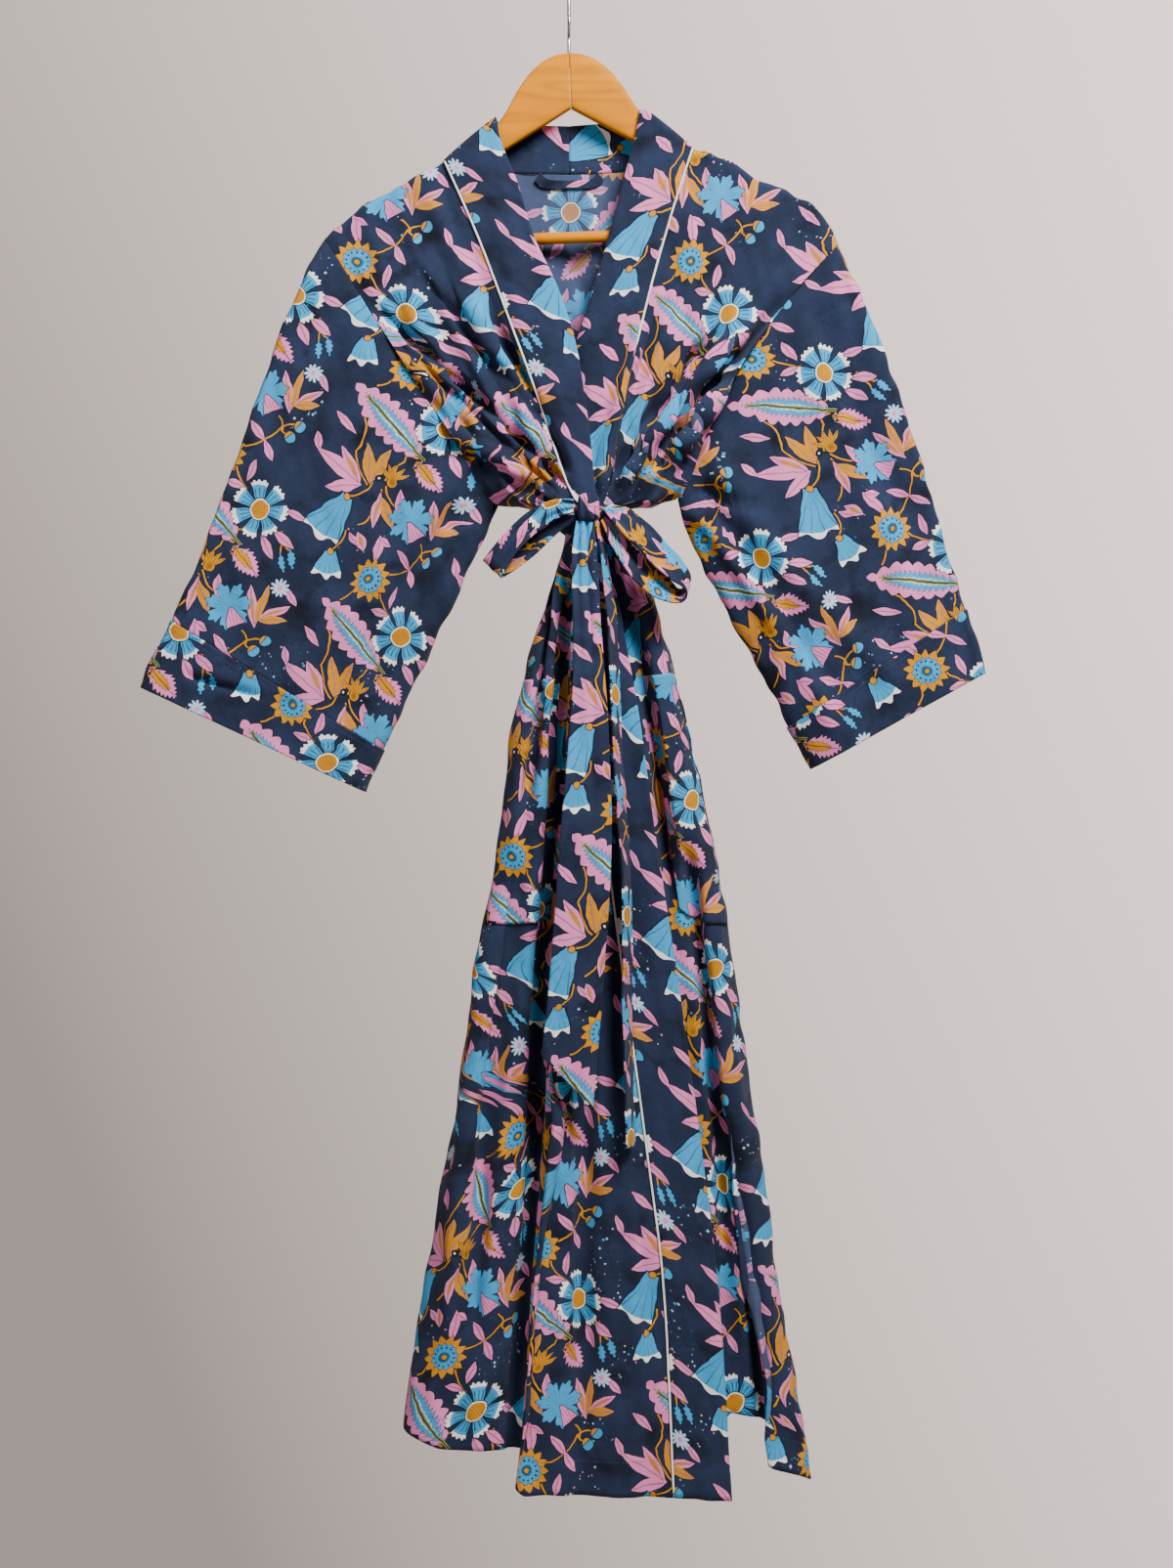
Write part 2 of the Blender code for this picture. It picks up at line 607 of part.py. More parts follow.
def back_point(u, v):
    """A point on the back: u from the left side seam to the right one."""
    left_x, left_z = side_point(v, SIDE_LEFT)
    right_x, right_z = side_point(v, SIDE_RIGHT)
    x = left_x + (right_x - left_x) * u
    z = left_z + (right_z - left_z) * u
    at_neck = 0.0
    if v < V_UNDERARM:
        top_x, top_z, at_neck = back_top(u)
        fade = (1 - v / V_UNDERARM) ** 2
        ends = (SIDE_LEFT[0], SIDE_RIGHT[0])
        x += fade * (top_x - (ends[0].x + (ends[1].x - ends[0].x) * u))
        z += fade * (top_z - (ends[0].z + (ends[1].z - ends[0].z) * u))
    z += hem_drop(u, v, HEM_BACK)

    depth = smooth(v, BACK_SECTIONS, "depth")
    if v < V_UNDERARM:
        f = v / V_UNDERARM
        over_arm = min(1.0, ring_profile(min(f, 0.5)))
        side_depth = side_lip(v) + (ARMHOLE_DEPTH - side_lip(v)) * ring_profile(f)
        top_depth = SEAM_LIP + (depth - SEAM_LIP) * over_arm
        neck_depth = NECK_BACK_DEPTH + (depth - NECK_BACK_DEPTH) * ease(f)
        depth = top_depth + (max(neck_depth, depth) - top_depth) * at_neck
    else:
        side_depth = side_lip(v)
    from_side = min(u, 1 - u)
    reach = SIDE_ROUND_BACK + (0.5 - SIDE_ROUND_BACK) * near_waist(v)
    tube = ease((v - V_UNDERARM) / (V_WAIST_IN - V_UNDERARM))
    rise = (1 - tube) * ease(from_side / 0.18) + tube * roundness(from_side, reach)
    y = side_depth + (depth - side_depth) * rise
    free = ease(from_side / 0.08) * ease(v / 0.08)
    y += free * ridge_height(RIDGES_BACK, u, v, right_x - left_x)
    y += free * smooth(v, BACK_SECTIONS, "waves") * math.sin(2 * math.pi * GATHERS_BACK * u)
    return Vector((x, y, z)) * MM


def sleeve_point(table, folds, a, w, front):
    """A point on a sleeve: a from its upper edge to its inner one, w from armhole to cuff."""
    outer = Vector((smooth(w, table, "outer_x", "w"), 0, smooth(w, table, "outer_z", "w")))
    inner = Vector((smooth(w, table, "inner_x", "w"), 0, smooth(w, table, "inner_z", "w")))
    straight = outer + (inner - outer) * a
    side = SIDE_LEFT if outer.x < 0 else SIDE_RIGHT
    seam_x, seam_z = side_point(a * V_UNDERARM, side)
    ends = (side_point(0.0, side), side_point(V_UNDERARM, side))
    chord_x = ends[0][0] + (ends[1][0] - ends[0][0]) * a
    chord_z = ends[0][1] + (ends[1][1] - ends[0][1]) * a
    fade = (1 - ease(w / 0.3)) if w < 0.3 else 0.0
    straight += Vector((seam_x - chord_x, 0, seam_z - chord_z)) * fade
    depth = smooth(w, table, "depth", "w")
    y = SEAM_LIP + (depth - SEAM_LIP) * ring_profile(a)
    y += sum(
        bump(a, fold.a, fold.width)
        * between(w, (0, 0.1, 0.5, 1), (0, fold.armhole, fold.middle, fold.cuff))
        for fold in folds
    )
    return Vector((straight.x, -y if front else y, straight.z)) * MM


def band_seam(panel, v):
    """The neckband's sewn edge beside a front's edge."""
    here = front_point(panel, 1.0, v)
    before = front_point(panel, 0.97, v)
    away = here - before
    if v < 0.01:
        away = Vector((1.0 if here.x < 0 else -1.0, 0, 0.9))
    away.normalize()
    return here + away * SEAM_GAP * MM


def band_front_point(panel, free, s, v):
    """A point on the neckband below the crest: s from the seam to the free edge."""
    seam = band_seam(panel, v)
    edge = Vector((smooth(v, free, "x"), -smooth(v, free, "forward"), smooth(v, free, "z"))) * MM
    return seam + (edge - seam) * s


def band_neck_point(panel, neck_free, s, b):
    """A point on the neckband behind the neck: b from the crest to the centre back."""
    left = panel is FRONT_LEFT
    start = NECK_LEFT_U if left else NECK_RIGHT_U
    u = start + (0.5 - start) * b
    x, z, behind = back_top(u)
    seam = Vector((x, SEAM_LIP + (NECK_BACK_DEPTH - SEAM_LIP) * behind, z + NECK_SEAM_GAP)) * MM
    if b == 0.0:
        seam = band_seam(panel, 0.0)
        seam.y = 0.0
    edge = Vector((
        smooth(b, neck_free, "x", "b"),
        smooth(b, neck_free, "back", "b"),
        smooth(b, neck_free, "z", "b"),
    )) * MM
    if b == 1.0:
        shift = -SEAM_GAP / 2 if left else SEAM_GAP / 2
        seam.x = edge.x = shift * MM
    return seam + (edge - seam) * s


def moved_out(place, u, v, distance, facing):
    """A surface's point moved out along its normal, towards the side that facing names."""
    step = 0.004
    across = place(min(u + step, 1), v) - place(max(u - step, 0), v)
    down = place(u, min(v + step, 1)) - place(u, max(v - step, 0))
    normal = across.cross(down).normalized()
    if normal.dot(facing) < 0:
        normal = -normal
    return place(u, v) + normal * distance * MM


def graded(count, dense, width=0.08, gain=1.6):
    """Steps from 0 to 1, closer together near the dense places."""
    samples = 400
    total = [0.0]
    for i in range(samples):
        at = (i + 0.5) / samples
        total.append(total[-1] + 1 + gain * sum(bump(at, place, width) for place in dense))
    shares = [value / total[-1] for value in total]
    marks = [i / samples for i in range(samples + 1)]
    return [between(i / count, shares, marks) for i in range(count + 1)]


def material(name, colour, roughness, metallic=0.0):
    made = bpy.data.materials.get(name) or bpy.data.materials.new(name)
    made.use_nodes = True
    shader = made.node_tree.nodes["Principled BSDF"]
    shader.inputs["Base Color"].default_value = (*colour, 1)
    shader.inputs["Roughness"].default_value = roughness
    shader.inputs["Metallic"].default_value = metallic
    return made


def new_object(name, shape, colour):
    """Puts a bmesh in the scene as one named object."""
    mesh = bpy.data.meshes.new(name)
    shape.to_mesh(mesh)
    shape.free()
    mesh.shade_smooth()
    mesh.materials.append(colour)
    made = bpy.data.objects.new(name, mesh)
    bpy.context.scene.collection.objects.link(made)
    return made


def cloth_sheet(name, columns, rows, place, thickness, colour, closed=False):
    """A cloth wall on the points that place(column value, row value) gives."""
    sheet = bmesh.new()
    bmesh.ops.create_grid(
        sheet, x_segments=len(columns) - 1, y_segments=len(rows) - 1, size=0.5
    )
    for point in sheet.verts:
        column = columns[round((point.co.x + 0.5) * (len(columns) - 1))]
        row = rows[round((point.co.y + 0.5) * (len(rows) - 1))]
        point.co = place(column, row)
    if closed:
        bmesh.ops.remove_doubles(sheet, verts=sheet.verts, dist=0.00001)
    made = new_object(name, sheet, colour)
    wall = made.modifiers.new("Wall", "SOLIDIFY")
    wall.thickness = thickness * MM
    wall.offset = 0.0
    return made


UPPER_ROWS = [V_UNDERARM * f for f in (0, 0.003, 0.010, 0.024, 0.09, 0.2, 0.32, 0.45, 0.58, 0.71,
                                       0.83, 0.93, 1)]
LOWER_ROWS = [0.307, 0.315, 0.323, V_WAIST_IN, V_WAIST_OUT, 0.39, 0.42, 0.46, 0.51, 0.57, 0.64, 0.72, 0.81,
              0.90, 1.0]
BODY_ROWS = UPPER_ROWS + LOWER_ROWS
FRONT_LEFT_COLUMNS = graded(24, (0.0, 0.46), width=0.06, gain=3.0)
FRONT_RIGHT_COLUMNS = graded(21, (0.0, 0.20), width=0.06, gain=2.6)
BACK_COLUMNS = graded(30, (0.0, 1.0), width=0.05)


def make_body(cloth):
    cloth_sheet("front_left", FRONT_LEFT_COLUMNS, BODY_ROWS,
                lambda u, v: front_point(FRONT_LEFT, u, v), CLOTH, cloth)
    cloth_sheet("front_right", FRONT_RIGHT_COLUMNS, BODY_ROWS,
                lambda u, v: front_point(FRONT_RIGHT, u, v), CLOTH, cloth)
    cloth_sheet("back_panel", BACK_COLUMNS, BODY_ROWS, back_point, CLOTH, cloth)


def make_sleeve(name, table, folds, cloth):
    """A sleeve tube from the armhole seam, and the band sewn round its end."""
    heights = [v / V_UNDERARM for v in UPPER_ROWS]
    around = [(a, True) for a in heights] + [(a, False) for a in reversed(heights)]
    places = list(range(len(around)))
    length = abs(table[-1].outer_z - table[0].outer_z)
    gap, cuff_gap = SLEEVE_SEAM_GAP / length, SEAM_GAP / length

    def place(index, w):
        a, front = around[index]
        point = sleeve_point(table, folds, a, w, front)
        if index in (0, len(around) - 1, len(heights) - 1, len(heights)):
            point.y = 0.0
        return point

    cloth_sheet("sleeve_" + name, places,
                [gap + (SLEEVE_BAND_FROM - cuff_gap - gap) * t for t in
                 (0, 0.05, 0.14, 0.28, 0.44, 0.6, 0.8, 1)],
                place, CLOTH, cloth, closed=True)
    cloth_sheet("cuff_band_" + name, places,
                [SLEEVE_BAND_FROM, 1.0],
                place, DOUBLE_CLOTH, cloth, closed=True)


def make_neckband(name, panel, free, neck_free, cloth):
    """The neckband from the centre back over the crest and down to the hem."""
    behind = [-1, -0.75, -0.5, -0.3, -0.16, -0.08, -0.03]
    rows = behind + [0.0] + BODY_ROWS[1:]

    def place(s, row):
        if row < 0:
            return band_neck_point(panel, neck_free, s, -row)
        point = band_front_point(panel, free, s, row)
        if row == 0.0:
            point.y = 0.0
        return point

    cloth_sheet("neckband_" + name, [0, 1 / 3, 2 / 3, 1], rows, place, DOUBLE_CLOTH, cloth)


def curve_tube(name, points, radius, sides, colour):
    """A round cord through points, with filled ends."""
    curve = bpy.data.curves.new(name, "CURVE")
    curve.dimensions = "3D"
    curve.bevel_depth = radius
    curve.bevel_resolution = sides // 2 - 2
    curve.use_fill_caps = True
    spline = curve.splines.new("POLY")
    spline.points.add(len(points) - 1)
    for made, point in zip(spline.points, points):
        made.co = (*point, 1)
    curve.materials.append(colour)
    made = bpy.data.objects.new(name, curve)
    bpy.context.scene.collection.objects.link(made)
    return made


def make_piping(name, panel, free, colour):
    """The white piping, laid along the neckband's seam from the crest to the hem."""
    rise = DOUBLE_CLOTH / 2 + LAID_GAP + PIPING_RADIUS
    points = []
    for v in BODY_ROWS[3:-1] + [PIPING_END]:
        seam = band_seam(panel, v)
        toward = band_front_point(panel, free, 0.2, v) - seam
        down = band_seam(panel, min(v + 0.01, 1)) - band_seam(panel, max(v - 0.01, 0.005))
        normal = toward.cross(down).normalized()
        if normal.y > 0:
            normal = -normal
        points.append(seam + normal * rise * MM)
    curve_tube("piping_" + name, points, PIPING_RADIUS * MM, 6, colour)


def ribbon_object(name, table, columns, cloth, thickness=DOUBLE_CLOTH, rows=None):
    """A flat strip of belt along a table of its middle points and half widths."""
    count = rows or len(table) - 1
    keys = list(range(len(table)))

    def place(s, t):
        at = t * (len(table) - 1)
        middle = Vector([spline_read(at, keys, [row[i] for row in table]) for i in range(3)])
        wide = Vector([spline_read(at, keys, [row[i + 3] for row in table]) for i in range(3)])
        return (middle + wide * (2 * s - 1)) * MM

    return cloth_sheet(name, [i / columns for i in range(columns + 1)],
                       [i / count for i in range(count + 1)], place, thickness, cloth)


def spline_read(at, keys, values):
    """A smooth curve through equally spaced values."""
    i = min(int(at), len(keys) - 2)
    t = at - i
    before = values[max(i - 1, 0)]
    start, end = values[i], values[i + 1]
    after = values[min(i + 2, len(values) - 1)]
    return 0.5 * (
        2 * start
        + (end - before) * t
        + (2 * before - 5 * start + 4 * end - after) * t * t
        + (3 * start - before - 3 * end + after) * t ** 3
    )


def make_belt(cloth):
    """The belt round the waist, the knot and the bow with its two free ends."""
    count = 24

    def waist(index, z):
        angle = 2 * math.pi * index / count
        bulge = 1 + 0.02 * math.sin(3 * angle)
        return Vector((
            WAIST_CENTRE[0] + WAIST_HALF[0] * bulge * math.cos(angle),
            WAIST_CENTRE[1] + WAIST_HALF[1] * bulge * math.sin(angle),
            z,
        )) * MM

    top, bottom = BELT_WAIST_Z
    cloth_sheet("belt_waist", list(range(count + 1)), [top, (top + bottom) / 2, bottom],
                waist, DOUBLE_CLOTH, cloth, closed=True)
    ribbon_object("bow_loop_left", BOW_LEFT, 3, cloth, rows=16)
    ribbon_object("bow_loop_right", BOW_RIGHT, 3, cloth, rows=20)
    ribbon_object("belt_tail_front", TAIL_FRONT, 3, cloth, rows=14)
    ribbon_object("belt_tail_side", TAIL_SIDE, 2, cloth, rows=12)

    knot = bmesh.new()
    bmesh.ops.create_uvsphere(knot, u_segments=14, v_segments=9, radius=1.0)
    for point in knot.verts:
        squared = Vector([math.copysign(abs(c) ** 0.7, c) for c in point.co])
        point.co = Vector([
            (KNOT_CENTRE[i] + KNOT_HALF[i] * squared[i]) * MM for i in range(3)
        ])
    new_object("belt_knot", knot, cloth)


def make_pocket(name, panel, patch, columns, cloth):
    """A patch pocket, made from its panel's points moved out."""
    def place(u, v):
        return front_point(panel, u, v)

    def v_at(z):
        low, high = V_WAIST_OUT, 1.0
        for _ in range(30):
            middle = (low + high) / 2
            if place(0.1, middle).z > z * MM:
                low = middle
            else:
                high = middle
        return (low + high) / 2

    first, last = v_at(patch.z_top), v_at(patch.z_bottom)
    inside = [v for v in BODY_ROWS if first + 0.004 < v < last - 0.004]
    rows = [first] + inside + [last]
    across = [u for u in columns if patch.u_from <= u <= patch.u_to]
    rise = CLOTH + LAID_GAP + 0.2
    facing = Vector((0, -1, 0))
    cloth_sheet("pocket_" + name, across, rows,
                lambda u, v: moved_out(place, u, v, rise, facing), CLOTH, cloth)


def make_hanging_loop(cloth):
    """The loop inside the back neck, just in front of the back panel."""
    table = []
    for row in HANGING_LOOP:
        u = 0.5 + row.x / 520.0
        depth = back_point(u, 0.01).y / MM - HANGING_LOOP_GAP
        table.append(row._replace(y=depth))
    ribbon_object("hanging_loop", table, 1, cloth, thickness=1.2, rows=10)


def wood_half(name, side, colour):
    """One half of the hanger's wood: its outline, given thickness and rounded edges."""
    upper = [(row.out, -row.top) for row in WOOD]
    lower = [(row.out, -row.bottom) for row in reversed(WOOD)]
    turn = Matrix.Rotation(-HANGER_TILT, 4, "Y")
    shape = bmesh.new()
    corners = []
    for out, drop in upper + lower:
        point = turn @ Vector((side * out, 0, drop))
        corners.append(shape.verts.new((
            point.x * MM, -HANGER_THICK / 2 * MM, (point.z + HANGER_WOOD_TOP_Z) * MM
        )))
    face = shape.faces.new(corners)
    grown = bmesh.ops.extrude_face_region(shape, geom=[face])
    moved = [item for item in grown["geom"] if isinstance(item, bmesh.types.BMVert)]
    bmesh.ops.translate(shape, verts=moved, vec=(0, HANGER_THICK * MM, 0))
    bmesh.ops.recalc_face_normals(shape, faces=shape.faces)
    made = new_object(name, shape, colour)
    round_edges = made.modifiers.new("Rounded edges", "BEVEL")
    round_edges.width = HANGER_EDGE_ROUND * MM
    round_edges.segments = 2
    round_edges.limit_method = "ANGLE"
    round_edges.angle_limit = math.radians(60)
    return made


def cutter(name, start, end, radius):
    """A wire-framed cylinder that bores a hole, between two points in millimetres."""
    shape = bmesh.new()
    start, end = Vector(start) * MM, Vector(end) * MM
    bmesh.ops.create_cone(
        shape, cap_ends=True, segments=16, radius1=radius * MM, radius2=radius * MM,
        depth=(end - start).length,
    )
    turn = (end - start).to_track_quat("Z", "Y").to_matrix().to_4x4()
    bmesh.ops.transform(
        shape, matrix=Matrix.Translation((start + end) / 2) @ turn, verts=shape.verts
    )
    mesh = bpy.data.meshes.new(name)
    shape.to_mesh(mesh)
    shape.free()
    made = bpy.data.objects.new(name, mesh)
    made.hide_render = True
    made.display_type = "WIRE"
    bpy.context.scene.collection.objects.link(made)
    return made


def bore(wood, tool):
    hole = wood.modifiers.new("Hole", "BOOLEAN")
    hole.operation = "DIFFERENCE"
    hole.object = tool


def make_hanger(wood, steel):
    """Two glued halves of wood, the trouser bar in its sockets and the wire hook."""
    turn = Matrix.Rotation(-HANGER_TILT, 4, "Y")
    lift = Vector((0, 0, HANGER_WOOD_TOP_Z))
    ends = [turn @ Vector((side * BAR_HALF_LENGTH, 0, -BAR_DROP)) + lift for side in (-1, 1)]
    axis = (ends[1] - ends[0]).normalized()
    for name, side, end in (("left", -1, ends[0]), ("right", 1, ends[1])):
        half = wood_half("hanger_arm_" + name, side, wood)
        inner = end - axis * side * 60
        stop = end + axis * side * FIT_GAP
        bore(half, cutter("bar_hole_" + name, inner, stop, BAR_RADIUS + FIT_GAP))
        above, below = lift + Vector((0, 0, 10)), lift - Vector((0, 0, SHANK_DEPTH + FIT_GAP))
        bore(half, cutter("shank_hole_" + name, above, below, WIRE_RADIUS + FIT_GAP))
    bar = bmesh.new()
    bmesh.ops.create_cone(
        bar, cap_ends=True, segments=20, radius1=BAR_RADIUS * MM, radius2=BAR_RADIUS * MM,
        depth=2 * BAR_HALF_LENGTH * MM,
    )
    to_axis = axis.to_track_quat("Z", "Y").to_matrix().to_4x4()
    middle = (ends[0] + ends[1]) / 2 * MM
    bmesh.ops.transform(bar, matrix=Matrix.Translation(middle) @ to_axis, verts=bar.verts)
    new_object("hanger_bar", bar, wood)

    shank_end = HANGER_WOOD_TOP_Z - SHANK_DEPTH
    centre_radius = HOOK_INNER_RADIUS + WIRE_RADIUS
    centre_z = -HOOK_INNER_RADIUS
    points = [Vector((0, -centre_radius, HOOK_TIP_Z)) * MM]
    steps = 14
    for i in range(steps + 1):
        angle = math.pi - math.pi * 1.16 * i / steps
        points.append(Vector((
            0, centre_radius * math.cos(angle), centre_z + centre_radius * math.sin(angle)
        )) * MM)
    points.append(Vector((0, 5.5, -39.5)) * MM)
    points.append(Vector((0, 1.2, -45.0)) * MM)
    points.append(Vector((0, 0, -50.0)) * MM)
    points.append(Vector((0, 0, shank_end)) * MM)
    curve_tube("hanger_hook", points, WIRE_RADIUS * MM, 8, steel)


def main():
    for old in list(bpy.data.objects):
        bpy.data.objects.remove(old)
    cloth = material("Printed cotton", NAVY, 0.85)
    white = material("White piping", WHITE_PIPING, 0.8)
    wood = material("Honey wood", HONEY_WOOD, 0.35)
    steel = material("Hook wire", STEEL, 0.3, 1.0)
    make_body(cloth)
    make_sleeve("left", SLEEVE_LEFT, SLEEVE_FOLDS_LEFT, cloth)
    make_sleeve("right", SLEEVE_RIGHT, SLEEVE_FOLDS_RIGHT, cloth)
    make_neckband("left", FRONT_LEFT, BAND_LEFT_FREE, NECK_LEFT_FREE, cloth)
    make_neckband("right", FRONT_RIGHT, BAND_RIGHT_FREE, NECK_RIGHT_FREE, cloth)
    make_piping("left", FRONT_LEFT, BAND_LEFT_FREE, white)
    make_piping("right", FRONT_RIGHT, BAND_RIGHT_FREE, white)
    make_pocket("left", FRONT_LEFT, POCKET_LEFT, FRONT_LEFT_COLUMNS, cloth)
    make_pocket("right", FRONT_RIGHT, POCKET_RIGHT, FRONT_RIGHT_COLUMNS, cloth)
    make_hanging_loop(cloth)
    make_belt(cloth)
    make_hanger(wood, steel)


if __name__ == "__main__":
    main()
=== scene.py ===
"""A long cotton kimono robe on a wooden hanger, dressed for its portrait.

Every cloth piece is a thin sheet on the surface of its own pattern piece, with its creases laid
on one by one. u runs across a piece and v runs down it; the tables give millimetres. Left and right
are the viewer's, the front looks towards -Y, and the origin is the inner top of the hook.
"""

import math
from collections import namedtuple

import bmesh
import bpy
import numpy as np
from bpy.props import FloatProperty, FloatVectorProperty, PointerProperty
from mathutils import Matrix, Vector


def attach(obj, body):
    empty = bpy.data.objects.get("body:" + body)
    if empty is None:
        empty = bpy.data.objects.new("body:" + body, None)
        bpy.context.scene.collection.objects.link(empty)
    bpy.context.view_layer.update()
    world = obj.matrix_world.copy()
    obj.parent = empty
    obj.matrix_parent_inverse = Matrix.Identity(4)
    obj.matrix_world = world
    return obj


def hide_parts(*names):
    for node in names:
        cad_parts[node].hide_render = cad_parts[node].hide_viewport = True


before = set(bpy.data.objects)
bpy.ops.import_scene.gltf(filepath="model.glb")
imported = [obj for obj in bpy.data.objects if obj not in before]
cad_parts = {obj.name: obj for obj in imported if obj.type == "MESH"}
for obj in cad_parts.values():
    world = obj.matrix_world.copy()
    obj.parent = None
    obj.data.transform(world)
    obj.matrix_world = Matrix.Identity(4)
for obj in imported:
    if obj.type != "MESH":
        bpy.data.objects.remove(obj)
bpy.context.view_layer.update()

bl_info = {
    "name": "Kimono robe on a wooden hanger",
    "version": (1, 0, 0),
    "blender": (4, 5, 0),
    "location": "3D View > Sidebar > Robe",
    "description": "Makes the cloth, print, belt, hanger and studio of a hung kimono robe",
    "category": "Add Mesh",
}

MM = 0.001


def listed(kind, *cells):
    """The rows of a table, all of one kind."""
    return tuple(kind(*row) for row in cells)



# Cloth: the walls and the small gaps where pieces are sewn or laid together
LAID_GAP = 0.4
SEAM_GAP = 0.3
SLEEVE_SEAM_GAP = 0.5
SEAM_LIP = 0.5
BLOUSE_LIP = 0.8
NECK_SEAM_GAP = 0.6
HANGER_ARMS = ("hanger_arm_left", "hanger_arm_right")
CUFF_TUCK = 1.0
POCKET_PUFF = 0.8
POCKET_HEM = 53.0
POCKET_SHIFT = (31.0, 47.0)
THREAD = 0.0009
LEAST_CUT = 0.31

# Hanger
HANGER_WOOD_TOP_Z = -60.0
HANGER_THICK = 13.0
HANGER_TILT = math.radians(2.2)
WOOD_LENGTH = 222.0
WOOD_BODY = 200.0
WOOD_TIP_ROUND = 9.0
GRAIN_STRETCH = (0.16, 1.0, 1.0)
GRAIN_TURN = (0, math.radians(4), 0)
BAR_RADIUS = 5.5
BAR_DROP = 175.0
BAR_HALF_LENGTH = 200.0
WIRE_RADIUS = 1.6
HOOK_INNER_RADIUS = 18.0
HOOK_TIP_Z = -31.0

# Neckband, belt, cuffs and pockets
PIPING_RADIUS = 1.0
PIPING_END = 0.997
PIPING_SINKS = 4.6

# Heights along a panel, as v: the shoulder is 0 and the hem is 1
V_UNDERARM = 0.30
V_WAIST_IN = 0.33
V_WAIST_OUT = 0.36
V_KNEE = 0.72

ARMHOLE_DEPTH = 12.0
SHOULDER_ROUND = 0.022
SHOULDER_SHARE = 0.49

# The side line of the body: the armhole seam down to the underarm, then the side seam
SidePoint = namedtuple("SidePoint", "v x z")
SIDE_LEFT = listed(
    SidePoint, (0, -232, -237), (0.075, -191, -302), (0.15, -149, -368), (0.225, -107, -431),
    (0.3, -68, -489), (0.33, -5, -497), (0.36, -5, -528), (0.42, -27, -600), (0.49, -52, -690),
    (0.58, -66, -800), (0.68, -84, -930), (0.78, -111, -1085), (0.89, -136, -1220),
    (1, -158, -1364),
)
SIDE_RIGHT = listed(
    SidePoint, (0, 255, -244), (0.075, 209, -295), (0.15, 168, -352), (0.225, 133, -418),
    (0.3, 103, -483), (0.33, 58, -496), (0.36, 58, -528), (0.42, 81, -600), (0.49, 107, -690),
    (0.58, 134, -800), (0.68, 155, -930), (0.78, 179, -1085), (0.89, 200, -1235), (1, 231, -1415),
)

# The front edges, where the neckband is sewn on. fold_share is how far across the panel's width
# the main skirt fold stands, depth is how far the panel comes forward of the side seams, and
# waves is the height of the gathers.
EdgeSection = namedtuple("EdgeSection", "v x z depth fold_share waves")
EDGE_LEFT = listed(
    EdgeSection, (0, -119, -163, 10.5, 0.46, 0), (0.075, -86, -238, 11.5, 0.46, 0.2),
    (0.15, -58, -312, 14, 0.46, 0.5), (0.225, -30, -388, 20, 0.46, 0.8),
    (0.3, 6, -487, 29, 0.46, 0.2), (0.33, 19, -500, 27, 0.48, 0.1), (0.36, 20, -528, 26, 0.5, 0.3),
    (0.42, 20, -600, 29, 0.62, 0.4), (0.49, 24, -690, 31, 0.66, 0.6),
    (0.58, 34, -800, 33, 0.62, 0.8), (0.68, 50, -930, 34, 0.54, 0.8),
    (0.78, 71, -1085, 36, 0.47, 0.5), (0.89, 89, -1235, 37, 0.46, 0.3), (1, 98, -1422, 38, 0.46, 0),
)
EDGE_RIGHT = listed(
    EdgeSection, (0, 118, -151, 10.5, 0.2, 0), (0.075, 96, -220, 11, 0.2, 0.2),
    (0.15, 75, -296, 12, 0.2, 0.5), (0.225, 56, -380, 15, 0.2, 0.8), (0.3, 34, -487, 20, 0.2, 0.2),
    (0.33, 26, -500, 17, 0.2, 0.1), (0.36, 24, -528, 16, 0.2, 0.3), (0.42, 22, -600, 18, 0.24, 0.4),
    (0.49, 22, -690, 19, 0.26, 0.6), (0.58, 24, -800, 19, 0.28, 0.8),
    (0.68, 28, -930, 18, 0.27, 0.8), (0.78, 34, -1085, 17, 0.25, 0.5),
    (0.89, 38, -1235, 17, 0.2, 0.3), (1, 42, -1400, 17, 0.19, 0),
)

# How far the back panel stands behind the side seams
BackSection = namedtuple("BackSection", "v depth waves")
BACK_SECTIONS = listed(
    BackSection, (0, 10.5, 0), (0.15, 13, 0.6), (0.3, 23, 0.8), (0.33, 21, 0.4), (0.36, 21, 0.4),
    (0.49, 26, 0.8), (0.68, 30, 0.8), (1, 34, 0),
)

# The line of the shoulder and neck, as height of the panel's top at each place across
TopPoint = namedtuple("TopPoint", "u x z")
FRONT_LEFT_TOP = listed(
    TopPoint, (0, -232, -237), (0.14, -217, -224), (0.32, -197, -208), (0.54, -172, -193),
    (0.72, -152, -181), (0.9, -131, -172), (1, -119, -163),
)
FRONT_RIGHT_TOP = listed(
    TopPoint, (0, 255, -244), (0.05, 248, -226), (0.18, 231, -207), (0.4, 202, -189),
    (0.55, 183, -182), (0.8, 148, -162), (1, 118, -151),
)
NECK_LEFT_U, NECK_RIGHT_U = 0.25, 0.75
BACK_NECK = listed(
    TopPoint, (0.25, -119, -163), (0.31, -92, -168), (0.38, -62, -171), (0.5, 0, -172),
    (0.62, 60, -169), (0.69, 90, -161), (0.75, 118, -151),
)
NECK_BACK_DEPTH = 13.0

# The hem's height at each place across a panel
HemPoint = namedtuple("HemPoint", "u z")
HEM_LEFT = listed(
    HemPoint, (0, -1364), (0.14, -1377), (0.4, -1380), (0.52, -1417), (1, -1422),
)
HEM_RIGHT = listed(
    HemPoint, (0, -1415), (0.16, -1397), (0.3, -1356), (0.42, -1350), (0.55, -1386), (1, -1400),
)
HEM_BACK = listed(
    HemPoint, (0, -1364), (0.3, -1372), (0.6, -1360), (0.8, -1352), (0.9, -1372), (1, -1415),
)

